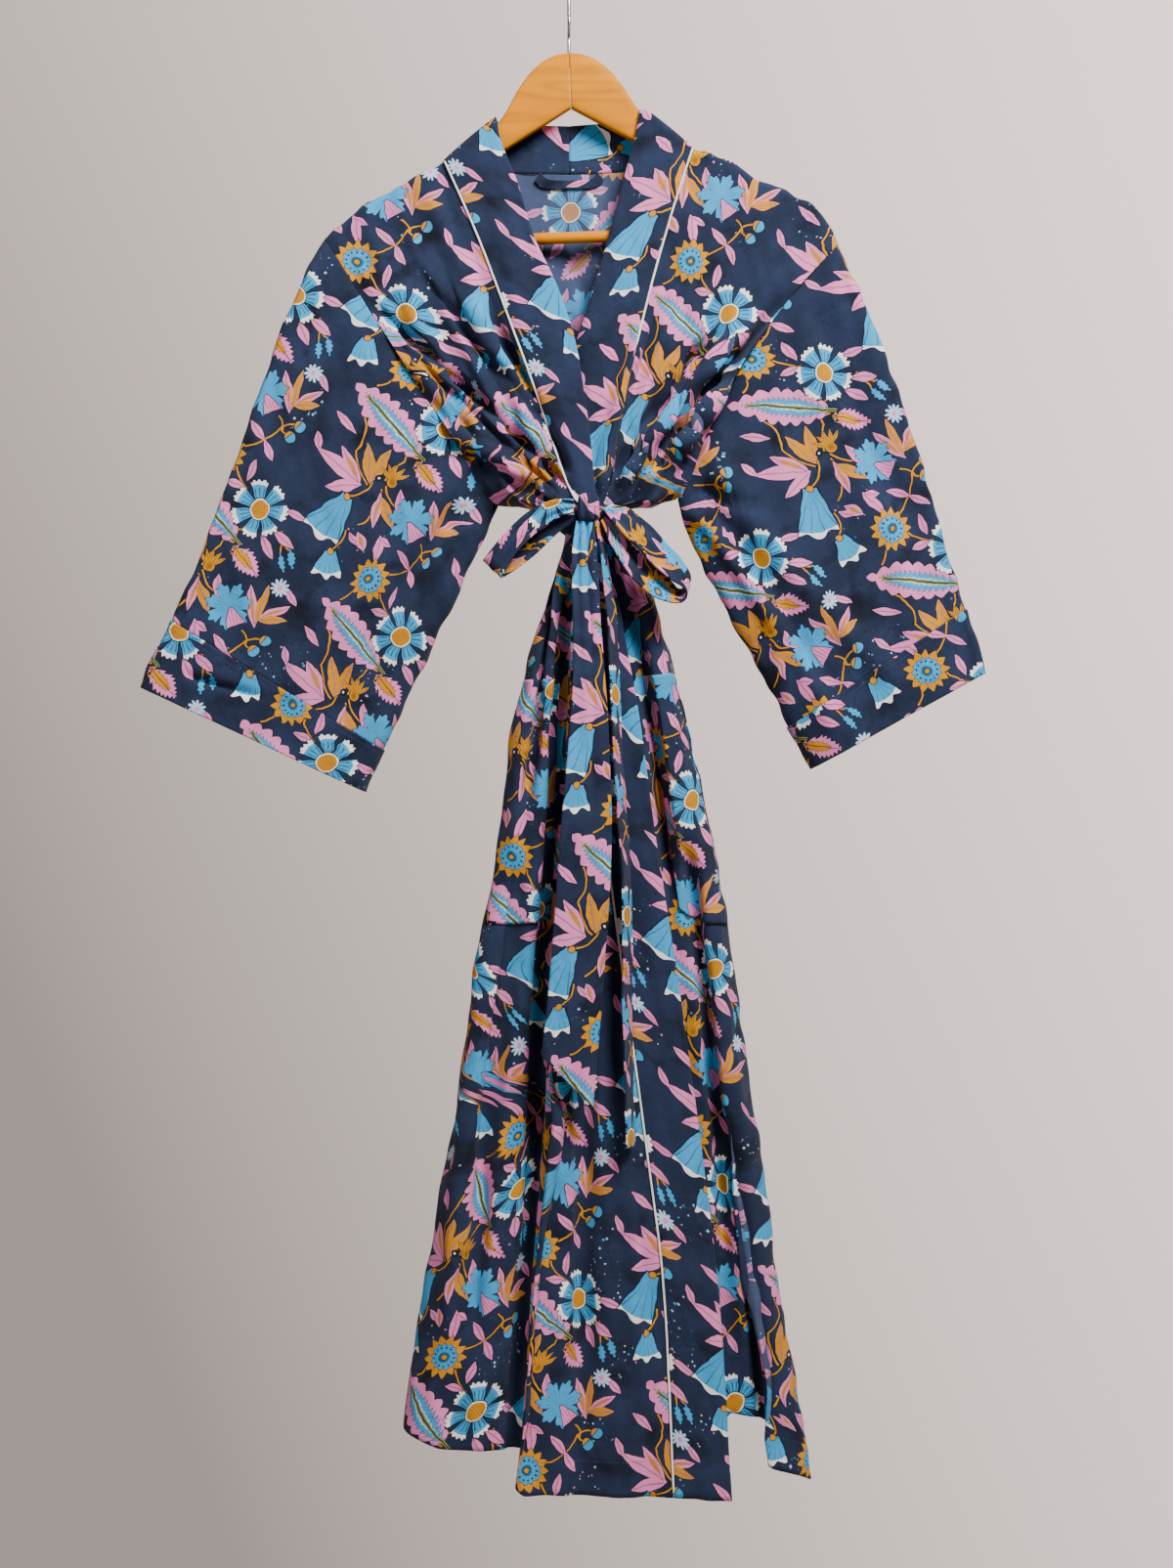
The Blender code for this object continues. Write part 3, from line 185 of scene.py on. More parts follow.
# Folds that lap over: the cloth runs lap past the fold, back under it, and on, step further
# forward. Each row gives both at the bust, the waist, the knee and the hem.
Lap = namedtuple("Lap", "u width lap_bust lap_waist lap_knee lap_hem step_waist step_knee step_hem")
LAPS_LEFT = (Lap(0.46, 0.060, 0, 0, 10, 20, 0, 11, 18),)
LAPS_RIGHT = (Lap(0.20, 0.075, 0, 0, 0, 15, 0, -4, -14),)

# Soft folds that stand out from a panel or sink into it. Each level gives the fold's height as
# a share of its own width there, so that a fold flattens where the cloth is drawn in.
Ridge = namedtuple("Ridge", "u width shoulder bust underarm waist hip knee hem")
RIDGES_LEFT = listed(
    Ridge, (0.1, 0.05, 0, 0.7, 0.5, 0.2, 0.4, 0.4, 0),
    (0.27, 0.055, 0.1, 0.8, 0.5, 0.2, 0.7, 0.6, 0.4),
    (0.38, 0.04, 0, -0.4, -0.4, 0, -0.7, -0.6, -0.5),
    (0.53, 0.055, 0.2, 0.9, 0.5, 0.2, 0.3, 0.2, 0.1),
    (0.66, 0.045, 0, -0.6, -0.4, 0, -0.5, -0.6, -0.4),
    (0.79, 0.055, 0.2, 0.9, 0.5, 0.2, 0.4, 0.4, 0.3), (0.91, 0.04, 0, -0.6, -0.3, 0, 0, -0.3, -0.3),
)
RIDGES_RIGHT = listed(
    Ridge, (0.09, 0.05, 0, 0.6, 0.5, 0.2, 0.5, 0.6, 0.3), (0.23, 0.055, 0.2, 0.9, 0.5, 0, 0, 0, 0),
    (0.36, 0.045, 0, -0.6, -0.4, 0, -0.3, 0, 0), (0.5, 0.055, 0.2, 0.9, 0.5, 0, 0, 0.2, 0.2),
    (0.64, 0.045, 0, -0.6, -0.4, 0, 0, 0, 0), (0.78, 0.055, 0.2, 0.9, 0.4, 0, 0, 0.2, 0.2),
    (0.92, 0.04, 0, -0.5, -0.2, 0, 0, 0, 0),
)
RIDGES_BACK = listed(
    Ridge, (0.1, 0.04, 0, 0.4, 0.5, 0.2, 0.6, 0.7, 0.6),
    (0.24, 0.045, 0, 0.5, 0.5, 0.2, 0.6, 0.8, 0.8), (0.37, 0.04, 0, 0.4, 0.5, 0.2, 0.6, 0.6, 0.5),
    (0.5, 0.045, 0, 0.5, 0.5, 0.2, 0.7, 0.9, 0.9), (0.63, 0.04, 0, 0.4, 0.5, 0.2, 0.6, 0.6, 0.5),
    (0.77, 0.045, 0, 0.5, 0.5, 0.2, 0.6, 0.8, 0.7), (0.9, 0.04, 0, 0.4, 0.4, 0.2, 0.5, 0.5, 0.4),
)
RIDGE_LEVELS = (0.0, 0.17, 0.28, 0.345, 0.44, V_KNEE, 1.0)

GATHERS_FRONT = 4
GATHERS_BACK = 8
SIDE_ROUND_FRONT = 0.16
SIDE_ROUND_BACK = 0.10
LAP_GAIN = 2.33
HEM_SHAPED_FROM = 0.45

# Sleeves: the upper and the inner edge from the armhole to the cuff
SleeveEdge = namedtuple("SleeveEdge", "w outer_x outer_z inner_x inner_z depth")
SLEEVE_LEFT = listed(
    SleeveEdge, (0, -232, -237, -68, -489, 12), (0.12, -252, -274, -82, -519, 15),
    (0.3, -283, -355, -104, -568, 17), (0.5, -312, -435, -131, -624, 18),
    (0.75, -354, -548, -163, -690, 20), (1, -405, -663, -196, -761, 23),
)
SLEEVE_RIGHT = listed(
    SleeveEdge, (0, 255, -244, 103, -483, 12), (0.12, 270, -276, 113, -514, 15),
    (0.3, 301, -350, 136, -564, 17), (0.5, 327, -430, 159, -606, 18),
    (0.75, 360, -540, 193, -668, 20), (1, 393, -650, 231, -740, 23),
)
# Soft folds down a sleeve: a is the place from its upper to its inner edge
SleeveFold = namedtuple("SleeveFold", "a width armhole middle cuff")
SLEEVE_FOLDS_LEFT = listed(
    SleeveFold, (0.22, 0.08, 1.5, 2.5, 3), (0.48, 0.07, 0, -3, -4), (0.74, 0.08, 3, 3, 3),
)
SLEEVE_FOLDS_RIGHT = listed(
    SleeveFold, (0.25, 0.08, 2, 2.5, 2), (0.52, 0.07, 0, -3, -3), (0.8, 0.07, 3, 3, 3),
)
SLEEVE_BAND_FROM = 0.865
ARMHOLE_FADE = 0.3

# Neckband: its free edge from the crest over the hanger down to the hem, and behind the neck
FreeEdge = namedtuple("FreeEdge", "v x z forward")
BAND_LEFT_FREE = listed(
    FreeEdge, (0, -70, -121, 0), (0.003, -69, -123, 7.5), (0.008, -68, -127, 9.8),
    (0.02, -66, -140, 10.2), (0.05, -50, -181, 11), (0.1, -33, -236, 12), (0.15, -11, -284, 14),
    (0.2, 7, -340, 17), (0.25, 19, -420, 24), (0.3, 27, -486, 30), (0.33, 38, -499, 25),
    (0.36, 41, -528, 24), (0.42, 50, -600, 29), (0.49, 66, -690, 32), (0.58, 81, -800, 33),
    (0.68, 101, -930, 33), (0.78, 123, -1085, 34), (0.89, 141, -1238, 34), (1, 153, -1426, 35),
)
BAND_RIGHT_FREE = listed(
    FreeEdge, (0, 69, -111, 0), (0.003, 68, -113, 8), (0.008, 67, -118, 9.8),
    (0.02, 64, -135, 10.2), (0.05, 53, -177, 10.5), (0.1, 38, -235, 11), (0.15, 18, -302, 11.5),
    (0.2, 3, -356, 12), (0.25, -2, -425, 15), (0.3, 8, -485, 18), (0.33, 10, -499, 15),
    (0.36, 9, -528, 14), (0.42, 2, -600, 14), (0.49, -6, -690, 14), (0.58, -10, -800, 14),
    (0.68, -14, -930, 14), (0.78, -14, -1085, 13), (0.89, -12, -1235, 13), (1, -9, -1402, 13),
)
# Behind the neck, b runs from the crest at 0 to the centre back at 1
NeckEdge = namedtuple("NeckEdge", "b x z back")
NECK_LEFT_FREE = listed(
    NeckEdge, (0, -70, -121, 0), (0.04, -69, -121, 8), (0.12, -67, -122, 10.5),
    (0.5, -46, -124, 14), (1, 0, -125, 15),
)
NECK_RIGHT_FREE = listed(
    NeckEdge, (0, 69, -111, 0), (0.04, 68, -112, 8), (0.12, 65, -116, 10.5), (0.5, 45, -121, 14),
    (1, 0, -125, 15),
)

# Belt and bow. Each ribbon row gives its middle, and half its width along X, Y and Z.
WAIST_CENTRE = (26.5, -2.0)
WAIST_HALF = (34.0, 31.0)
BELT_WAIST_Z = (-499.0, -528.0)
WAIST_PINCH = 0.5
WAIST_PRINT_START = (10.0, 130.0)
Ribbon = namedtuple("Ribbon", "x y z wide_x wide_y wide_z")
BOW_LEFT = listed(
    Ribbon, (4.5, -43.5, -495, 0, 0, -6), (-14, -49, -499, 3, 0, -8), (-34, -51, -511.5, 5, 0, -9),
    (-54, -52, -531, 6, 0, -8.5), (-67, -51, -549, 8, 0, -8), (-71, -47, -554, 8, 0, -8),
    (-67, -43, -553, 8, 0, -8), (-52, -41, -546, 5, 0, -7), (-34, -39, -532.5, 4, 0, -7),
    (-14, -38, -515, 3, 0, -6), (6, -38, -504, 1, 0, -3),
)
BOW_RIGHT = listed(
    Ribbon, (33.6, -43.5, -496, 1, 5, 3), (50, -48, -506, 6, 8, 8), (68, -50, -523, 8, 8, 9),
    (85, -51, -541, 8, 8, 9), (100, -51, -556, 7, 9, 8), (109, -51, -566, 4, 10, 7),
    (110, -51, -574, 2, 10, 7), (102, -51, -579, 1, 10, 7), (89, -50, -574, 6, 8, 9),
    (73, -49, -560, 8, 7, 10), (57, -47, -542, 7, 8, 9), (44, -45, -525, 5, 8, 7),
    (31.6, -42, -507, 1, 4, 2),
)
TAIL_FRONT = listed(
    Ribbon, (15, -45, -509.6, 8, 1, 0), (15, -52, -545, 12, 1, 0), (17, -56, -604, 13, 2, 0),
    (19, -58, -655, 15, 2, 0), (19, -60, -705, 18, 2, 0), (16, -63, -809, 24, 2, 0),
    (8, -64, -930, 25, 2, 0), (-1, -64, -1030, 24, 2, -24),
)
TAIL_SIDE = listed(
    Ribbon, (25.5, -42, -509.2, 1.5, 3, 0), (33, -45, -545, 3, 6, 0), (42, -51, -630, 4, 9, 0),
    (46, -54, -731, 4, 10, 0), (53, -55, -830, 4, 10, 0), (55, -56, -960, 4, 10, 0),
    (57, -57, -1091, 4, 10, 0),
)
KNOT_CENTRE = (18.5, -43.5, -497.0)
KNOT_HALF = (11.5, 9.5, 13.5)
KNOT_PRINT_SHIFT = (0.0315, 0.146)

Patch = namedtuple("Patch", "u_from u_to z_top z_bottom")
POCKET_LEFT = Patch(0.02, 0.38, -657.0, -886.0)
POCKET_RIGHT = Patch(0.02, 0.30, -652.0, -886.0)
HANGING_LOOP = listed(
    Ribbon, (-30, 11, -174, 3, 0, 4), (-22, 11, -181, 2, 0, 4), (0, 11, -182, 0, 0, 4),
    (22, 11, -181, -2, 0, 4), (30, 11, -174, -3, 0, 4),
)
HANGING_LOOP_GAP = 2.2

# One half of the hanger's wood, as distance from its middle and drop below its top
WoodPoint = namedtuple("WoodPoint", "out top bottom")
WOOD = listed(
    WoodPoint, (0.15, 0, 52.5), (9, 1, 57.7), (20.5, 4.6, 64.4), (36, 16, 73.4), (50, 33.5, 81.5),
    (61, 52.2, 88), (72, 67, 94.5), (84, 79.5, 101.5), (101, 92, 111.5), (119, 103, 122.5),
    (133, 112, 131.5), (152, 121, 143.5), (173, 132.5, 158), (196, 147, 176), (208, 155, 185),
    (217, 162.5, 186), (222, 168, 181),
)


def read(table, column, at, key="v"):
    """A table's column at an array of places, by a cubic that never overshoots its rows."""
    places = np.array([getattr(row, key) for row in table], float)
    values = np.array([getattr(row, column) for row in table], float)
    slopes = np.diff(values) / np.diff(places)
    before, after = slopes[:-1], slopes[1:]
    same_way = before * after > 0
    total = np.where(same_way, before + after, 1.0)
    middle = np.where(same_way, 2 * before * after / total, 0.0)
    tangents = np.concatenate((slopes[:1], middle, slopes[-1:]))
    at = np.clip(at, places[0], places[-1])
    i = np.clip(np.searchsorted(places, at, side="left") - 1, 0, len(places) - 2)
    step = places[i + 1] - places[i]
    t = (at - places[i]) / step
    return (
        (1 + 2 * t) * (1 - t) ** 2 * values[i]
        + t * (1 - t) ** 2 * step * tangents[i]
        + t * t * (3 - 2 * t) * values[i + 1]
        + t * t * (t - 1) * step * tangents[i + 1]
    )


def bump(at, centre, width):
    return np.exp(-(((at - centre) / width) ** 2))


def ease(t):
    t = np.clip(t, 0, 1)
    return t * t * (3 - 2 * t)


def joined(x, y, z):
    """Three arrays of millimetres as one array of points."""
    return np.stack(np.broadcast_arrays(x, y, z), axis=-1).astype(float)


def unit(vectors):
    return vectors / np.maximum(np.linalg.norm(vectors, axis=-1, keepdims=True), 1e-9)


def roundness(at, reach):
    """A quarter round that rises from 0 to 1 over reach."""
    return np.sqrt(np.maximum(0, 1 - (1 - np.minimum(at / reach, 1)) ** 2))


def ring_profile(f):
    """Half the depth of the armhole ring, from its top at 0 to the underarm at 1."""
    below = np.sqrt(np.maximum(0, 1 - np.maximum(2 * f - 1, 0) ** 5))
    return np.where(f < 0.5, roundness(f, SHOULDER_ROUND), below)


def ridge_height(ridges, u, v, breadth):
    """The height of the soft folds on a panel that is breadth wide there."""
    total = 0.0
    for ridge in ridges:
        share = np.interp(v, RIDGE_LEVELS, ridge[2:])
        total = total + share * ridge.width * breadth * bump(u, ridge.u, ridge.width)
    return total


def side_lip(v):
    """How far a panel's side edge stands from the side seam."""
    return SEAM_LIP + BLOUSE_LIP * bump(v, V_UNDERARM + 0.015, 0.02)


def near_waist(v):
    return bump(v, (V_WAIST_IN + V_WAIST_OUT) / 2, 0.045)


def stands_out(v, from_side, depth, chest_reach, skirt_reach, waist_reach):
    """How far a panel stands out: flat cloth above the underarm and a tube below it."""
    lip = side_lip(v)
    armhole = lip + (ARMHOLE_DEPTH - lip) * ring_profile(np.minimum(v / V_UNDERARM, 1))
    side_depth = np.where(v < V_UNDERARM, armhole, lip)
    reach = skirt_reach + (waist_reach - skirt_reach) * near_waist(v)
    tube = ease((v - V_UNDERARM) / (V_WAIST_IN - V_UNDERARM))
    rise = (1 - tube) * ease(from_side / chest_reach) + tube * roundness(from_side, reach)
    return side_depth + (depth - side_depth) * rise


def lap_shift(laps, u, v):
    """How far a lapped fold moves the cloth across, and how far forward."""
    aside = forward = 0.0
    for lap in laps:
        t = (u - lap.u) / lap.width
        size = np.interp(
            v,
            (0.1, 0.2, V_WAIST_IN, V_WAIST_OUT, V_KNEE, 1.0),
            (0.0, lap.lap_bust, lap.lap_waist, lap.lap_waist, lap.lap_knee, lap.lap_hem),
        )
        step = np.interp(v, (V_WAIST_OUT, V_KNEE, 1.0), (lap.step_waist, lap.step_knee, lap.step_hem))
        aside = aside - size * LAP_GAIN * t * np.exp(-t * t)
        forward = forward + step * (ease((t + 1) / 2) - u)
    return aside, forward


def across_share(u, share, lap_u):
    """The share of a panel's width at u, with the main fold at its own share."""
    before = u * share / lap_u
    after = share + (1 - share) * (u - lap_u) / (1 - lap_u)
    return np.where(u < lap_u, before, after)


def hem_drop(u, v, table):
    """How far below the straight line between its two ends the hem hangs at u."""
    target = np.interp(u, [row.u for row in table], [row.z for row in table])
    chord = table[0].z + (table[-1].z - table[0].z) * u
    return ease((v - HEM_SHAPED_FROM) / (1 - HEM_SHAPED_FROM)) * (target - chord)


def front_point(half, u, v):
    """Points on a front: u from the side seam to the neckband, v from shoulder to hem."""
    side_x, side_z = read(half.seam, "x", v), read(half.seam, "z", v)
    edge_x, edge_z = read(half.edge, "x", v), read(half.edge, "z", v)
    skirt = ease((v - V_WAIST_IN) / 0.05)
    share = across_share(u, read(half.edge, "fold_share", v), half.lap_u)
    share = u + (share - u) * skirt
    x = side_x + (edge_x - side_x) * share
    z = side_z + (edge_z - side_z) * u
    upper = v < V_UNDERARM
    fade = np.where(upper, (1 - v / V_UNDERARM) ** 2, 0)
    first, last = half.top[0], half.top[-1]
    x = x + fade * (read(half.top, "x", u, "u") - (first.x + (last.x - first.x) * u))
    z = z + fade * (read(half.top, "z", u, "u") - (first.z + (last.z - first.z) * u))
    z = z + hem_drop(u, v, half.hem)

    depth = read(half.edge, "depth", v)
    over_shoulder = ring_profile(np.minimum(v / V_UNDERARM, SHOULDER_SHARE))
    depth = np.where(upper, SEAM_LIP + (depth - SEAM_LIP) * over_shoulder, depth)
    y = stands_out(v, u, depth, 0.35, SIDE_ROUND_FRONT, 1.0)

    free = ease(u / 0.10) * ease((1 - u) / 0.08) * ease(v / 0.05)
    aside, forward = lap_shift(half.laps, u, v)
    waves = read(half.edge, "waves", v)
    y = y + free * ridge_height(half.ridges, u, v, np.abs(edge_x - side_x))
    y = y + free * waves * np.sin(2 * math.pi * GATHERS_FRONT * u) + forward
    return joined(x + half.inward * aside, -y, z)


def back_top(u):
    """The back panel's top: left shoulder seam, back neck, right shoulder seam."""
    left, right = u < NECK_LEFT_U, u > NECK_RIGHT_U
    from_left, from_right = u / NECK_LEFT_U, (1 - u) / (1 - NECK_RIGHT_U)
    line = []
    for axis in "xz":
        shoulder = np.where(
            left,
            read(FRONT_LEFT_TOP, axis, from_left, "u"),
            read(FRONT_RIGHT_TOP, axis, from_right, "u"),
        )
        line.append(np.where(left | right, shoulder, read(BACK_NECK, axis, u, "u")))
    behind = roundness(np.maximum(u - NECK_LEFT_U, 0), 0.06)
    behind = behind * roundness(np.maximum(NECK_RIGHT_U - u, 0), 0.06)
    return line[0], line[1], np.where(left | right, 0.0, behind)


def back_point(u, v):
    """Points on the back: u from the left side seam to the right one."""
    left_x, left_z = read(SIDE_LEFT, "x", v), read(SIDE_LEFT, "z", v)
    right_x, right_z = read(SIDE_RIGHT, "x", v), read(SIDE_RIGHT, "z", v)
    x = left_x + (right_x - left_x) * u
    z = left_z + (right_z - left_z) * u
    upper = v < V_UNDERARM
    top_x, top_z, at_neck = back_top(u)
    fade = np.where(upper, (1 - v / V_UNDERARM) ** 2, 0)
    first, last = SIDE_LEFT[0], SIDE_RIGHT[0]
    x = x + fade * (top_x - (first.x + (last.x - first.x) * u))
    z = z + fade * (top_z - (first.z + (last.z - first.z) * u))
    z = z + hem_drop(u, v, HEM_BACK)

    depth = read(BACK_SECTIONS, "depth", v)
    f = np.minimum(v / V_UNDERARM, 1)
    top_depth = SEAM_LIP + (depth - SEAM_LIP) * ring_profile(np.minimum(f, SHOULDER_SHARE))
    neck_depth = NECK_BACK_DEPTH + (depth - NECK_BACK_DEPTH) * ease(f)
    at_top = top_depth + (np.maximum(neck_depth, depth) - top_depth) * at_neck
    depth = np.where(upper, at_top, depth)
    from_side = np.minimum(u, 1 - u)
    y = stands_out(v, from_side, depth, 0.18, SIDE_ROUND_BACK, 0.5)
    free = ease(from_side / 0.08) * ease(v / 0.08)
    y = y + free * ridge_height(RIDGES_BACK, u, v, right_x - left_x)
    y = y + free * read(BACK_SECTIONS, "waves", v) * np.sin(2 * math.pi * GATHERS_BACK * u)
    return joined(x, y, z)


def sleeve_point(half, around, w):
    """Points on a sleeve: around runs 0 to 1 down its front and 1 to 2 up its back."""
    table, side = half.sleeve, half.seam
    a = np.where(around < 1, around, 2 - around)
    outer_x, outer_z = read(table, "outer_x", w, "w"), read(table, "outer_z", w, "w")
    inner_x, inner_z = read(table, "inner_x", w, "w"), read(table, "inner_z", w, "w")
    fade = np.where(w < ARMHOLE_FADE, 1 - ease(w / ARMHOLE_FADE), 0)
    line = []
    for outer, inner, axis in ((outer_x, inner_x, "x"), (outer_z, inner_z, "z")):
        top, bottom = read(side, axis, 0.0), read(side, axis, V_UNDERARM)
        bend = read(side, axis, a * V_UNDERARM) - (top + (bottom - top) * a)
        line.append(outer + (inner - outer) * a + fade * bend)
    y = SEAM_LIP * ring_profile(a) ** 0.5
    y = y + (read(table, "depth", w, "w") - SEAM_LIP) * ring_profile(a)
    for fold in half.sleeve_folds:
        height = np.interp(w, (0, 0.1, 0.5, 1), (0, fold.armhole, fold.middle, fold.cuff))
        y = y + bump(a, fold.a, fold.width) * height
    return joined(line[0], np.where(around < 1, -y, y), line[1])


def band_seam(half, v):
    """The neckband's sewn edge beside a front's edge."""
    v = np.asarray(v, float)
    here = front_point(half, np.ones_like(v), v)
    away = unit(here - front_point(half, np.full_like(v, 0.97), v))
    crest = unit(np.array((half.inward, 0, 0.9)))
    away = np.where(v[..., None] < 0.01, crest, away)
    return here + away * SEAM_GAP


def band_front_point(half, s, v):
    """Points on the neckband below the crest: s from the seam to the free edge."""
    seam = band_seam(half, v)
    free = half.free
    edge = joined(read(free, "x", v), -read(free, "forward", v), read(free, "z", v))
    return seam + (edge - seam) * np.asarray(s)[..., None]


def band_neck_point(half, s, b):
    """Points on the neckband behind the neck: b from the crest to the centre back."""
    start = NECK_LEFT_U if half is LEFT else NECK_RIGHT_U
    x, z, behind = back_top(start + (0.5 - start) * b)
    y = SEAM_LIP + (NECK_BACK_DEPTH - SEAM_LIP) * behind
    seam = joined(x, y, z + NECK_SEAM_GAP)
    edge = joined(*(read(half.neck_free, axis, b, "b") for axis in ("x", "back", "z")))
    return seam + (edge - seam) * np.asarray(s)[..., None]


def band_point(half, s, row):
    """Points on the whole neckband: row -1 is the centre back, 0 the crest and 1 the hem."""
    below = band_front_point(half, s, np.maximum(row, 0))
    behind = band_neck_point(half, s, np.maximum(-row, 0))
    crest = joined(below[..., 0], np.zeros_like(s), below[..., 2])
    points = np.where((row < 0)[..., None], behind, below)
    return np.where((row == 0)[..., None], crest, points)


def graded(count, dense):
    """Steps from 0 to 1, closer together near each dense (place, width, gain)."""
    samples = (np.arange(4000) + 0.5) / 4000
    weight = 1 + sum(gain * bump(samples, place, width) for place, width, gain in dense)
    total = np.concatenate(([0], np.cumsum(weight))) / weight.sum()
    return np.interp(np.arange(count + 1) / count, total, np.arange(4001) / 4000)


# A crease runs from x, z to to_x, to_z, bows aside by bow, and stands up or sinks in by height.
# Its sides are width wide, the right-hand one (looking along it) narrower where lean is above 0.
Crease = namedtuple("Crease", "x z to_x to_z bow width lean height")
CREASE_FADE = 0.28


def crease_height(creases, points):
    """How far the creases raise a sheet at its points."""
    x, z = points[..., 0], points[..., 2]
    total = np.zeros_like(x)
    for crease in creases:
        run_x, run_z = crease.to_x - crease.x, crease.to_z - crease.z
        length = math.hypot(run_x, run_z)
        t = ((x - crease.x) * run_x + (z - crease.z) * run_z) / length ** 2
        aside = ((x - crease.x) * run_z - (z - crease.z) * run_x) / length
        inside = np.clip(t, 0, 1)
        aside = aside - crease.bow * 4 * inside * (1 - inside)
        width = crease.width * (1 - crease.lean * np.tanh(aside / crease.width * 2))
        taper = ease(t / 0.12) * ease((1 - t) / CREASE_FADE)
        total = total + crease.height * taper * np.exp(-((aside / width) ** 2))
    return total


# Slow uneven waves of worn cotton: wavelength across and down, phase and share of the height
Wave = namedtuple("Wave", "across down phase share")
RUMPLES = listed(
    Wave, (61, 143, 0.4, 0.9), (-47, 89, 2.1, 0.8), (33, 211, 1.3, 0.6), (-29, 57, 4, 0.45),
    (24, -41, 0.9, 0.35), (17, 71, 3.1, 0.3),
)


def rumple(points, height):
    """Small soft unevenness of a hung cloth."""
    x, z = points[..., 0], points[..., 2]
    total = 0.0
    for wave in RUMPLES:
        warp = 0.7 * np.sin(z / 97.0 + wave.phase) + 0.6 * np.sin(x / 71.0 + 2 * wave.phase)
        turn = 2 * math.pi * (x / wave.across + z / wave.down) + wave.phase + warp
        total = total + wave.share * np.sin(turn)
    return height * total


def shaped(place, across, down, creases=(), lift=0.0, rough=0.0, towards=None):
    """A sheet's points, raised along its own outward normals by creases, rumples and lift."""
    u, v = np.meshgrid(across, down)
    points = place(u, v)
    step = 0.0015
    along = place(np.minimum(u + step, across[-1]), v) - place(np.maximum(u - step, across[0]), v)
    below = place(u, np.minimum(v + step, down[-1])) - place(u, np.maximum(v - step, down[0]))
    normal = unit(np.cross(along, below))
    outward = points - points.mean(axis=1, keepdims=True) if towards is None else np.array(towards)
    if (normal * outward).sum() < 0:
        normal = -normal
    height = lift + crease_height(creases, points) + rumple(points, rough)
    return points + normal * height[..., None]


def steps(points, axis):
    """Lengths along a grid of points, from its first row or column."""
    lengths = np.linalg.norm(np.diff(points, axis=axis), axis=-1)
    start = np.zeros_like(np.take(lengths, [0], axis=axis))
    return np.concatenate((start, np.cumsum(lengths, axis=axis)), axis=axis)


# Creases of each piece, as the cloth hangs
LEFT_CREASES = listed(
    Crease, (6, -484, -196, -292, 5, 6, 0.3, -13.8), (0, -489, -190, -318, 6, 10, 0.2, 10),
    (-4, -490, -178, -325, 4, 5, 0.3, -11.6), (-8, -494, -150, -400, 5, 8, 0.2, 7.5),
    (-10, -496, -120, -430, 3, 5, 0.3, -7.2), (3, -470, -82, -300, 4, 6, 0.3, -11.6),
    (-2, -462, -122, -262, 6, 10, 0.2, 8.1), (0, -450, -150, -262, 4, 5, 0.3, -6.5),
    (-1, -536, -16, -840, 3, 7, 0.4, -11), (-9, -560, -22, -700, 2, 4, 0.2, 5),
    (-8, -720, -40, -1200, 4, 7, 0.4, -13), (-24, -1020, -58, -1440, 3, 7, 0.4, -11.6),
    (-13, -540, -46, -800, -3, 5, 0.2, -10.2), (-6, -545, -32, -700, -2, 6, 0.2, 6.2),
    (16, -532, 8, -860, 2, 9, 0.3, 7.5), (22, -540, 30, -1000, 3, 5, 0.2, -8.7),
    (-52, -800, -92, -1300, 5, 8, 0.2, -10.2), (-66, -840, -118, -1350, 6, 10, 0.2, 6.2),
    (8, -900, 10, -1400, -4, 9, 0.2, -7.2), (46, -1000, 66, -1420, -4, 10, 0.2, 5.6),
)
RIGHT_CREASES = listed(
    Crease, (30, -486, 80, -300, -5, 6, 0.3, 8.8), (36, -478, 152, -318, -6, 6, 0.3, -14.5),
    (44, -484, 196, -300, -6, 10, 0.3, 11.2), (52, -484, 178, -332, -4, 5, 0.2, -11.6),
    (60, -486, 206, -330, -5, 9, 0.2, 7.5), (72, -470, 236, -268, -8, 6, 0.3, -11.6),
    (88, -462, 258, -250, -8, 9, 0.2, 8.1), (52, -540, 98, -900, -4, 6, 0.3, -11.6),
    (62, -545, 112, -860, -4, 9, 0.2, 7.5), (108, -800, 150, -1250, -5, 7, 0.3, -11.6),
    (124, -840, 172, -1330, -5, 10, 0.2, 7.5), (146, -1050, 186, -1400, -4, 7, 0.3, -10.2),
)
BACK_CREASES = listed(
    Crease, (30, -486, -140, -290, 10, 8, 0.2, -8.7), (22, -486, -110, -270, 12, 10, 0.2, 7.5),
    (26, -480, 0, -260, 6, 8, 0.2, -7.2), (34, -486, 170, -290, -10, 8, 0.2, -8.7),
    (40, -486, 130, -270, -12, 10, 0.2, 7.5), (14, -540, -50, -950, 10, 10, 0.2, -10.2),
    (24, -540, 10, -1000, 6, 12, 0.2, 7.5), (40, -540, 80, -980, -8, 10, 0.2, -10.2),
    (52, -540, 130, -950, -10, 12, 0.2, 7.5), (-40, -900, -90, -1340, 6, 12, 0.2, -8.7),
    (60, -900, 90, -1360, -6, 12, 0.2, -8.7),
)
SLEEVE_LEFT_CREASES = listed(
    Crease, (-110, -440, -310, -700, -14, 12, 0.3, 6.2), (-96, -480, -236, -720, 8, 9, 0.3, -7.2),
    (-88, -500, -190, -640, 6, 8, 0.2, 5), (-200, -300, -330, -560, -10, 12, 0.2, -5.8),
    (-362, -652, -285, -672, 2, 4, 0.2, -5.8),
)
SLEEVE_RIGHT_CREASES = listed(
    Crease, (134, -440, 330, -680, 14, 12, 0.3, 6.2), (122, -480, 262, -700, -8, 9, 0.3, -7.2),
    (112, -490, 200, -620, -6, 8, 0.2, 5.6), (230, -290, 340, -540, 10, 12, 0.2, -5.8),
    (120, -472, 190, -500, 3, 6, 0.2, -7.2),
)


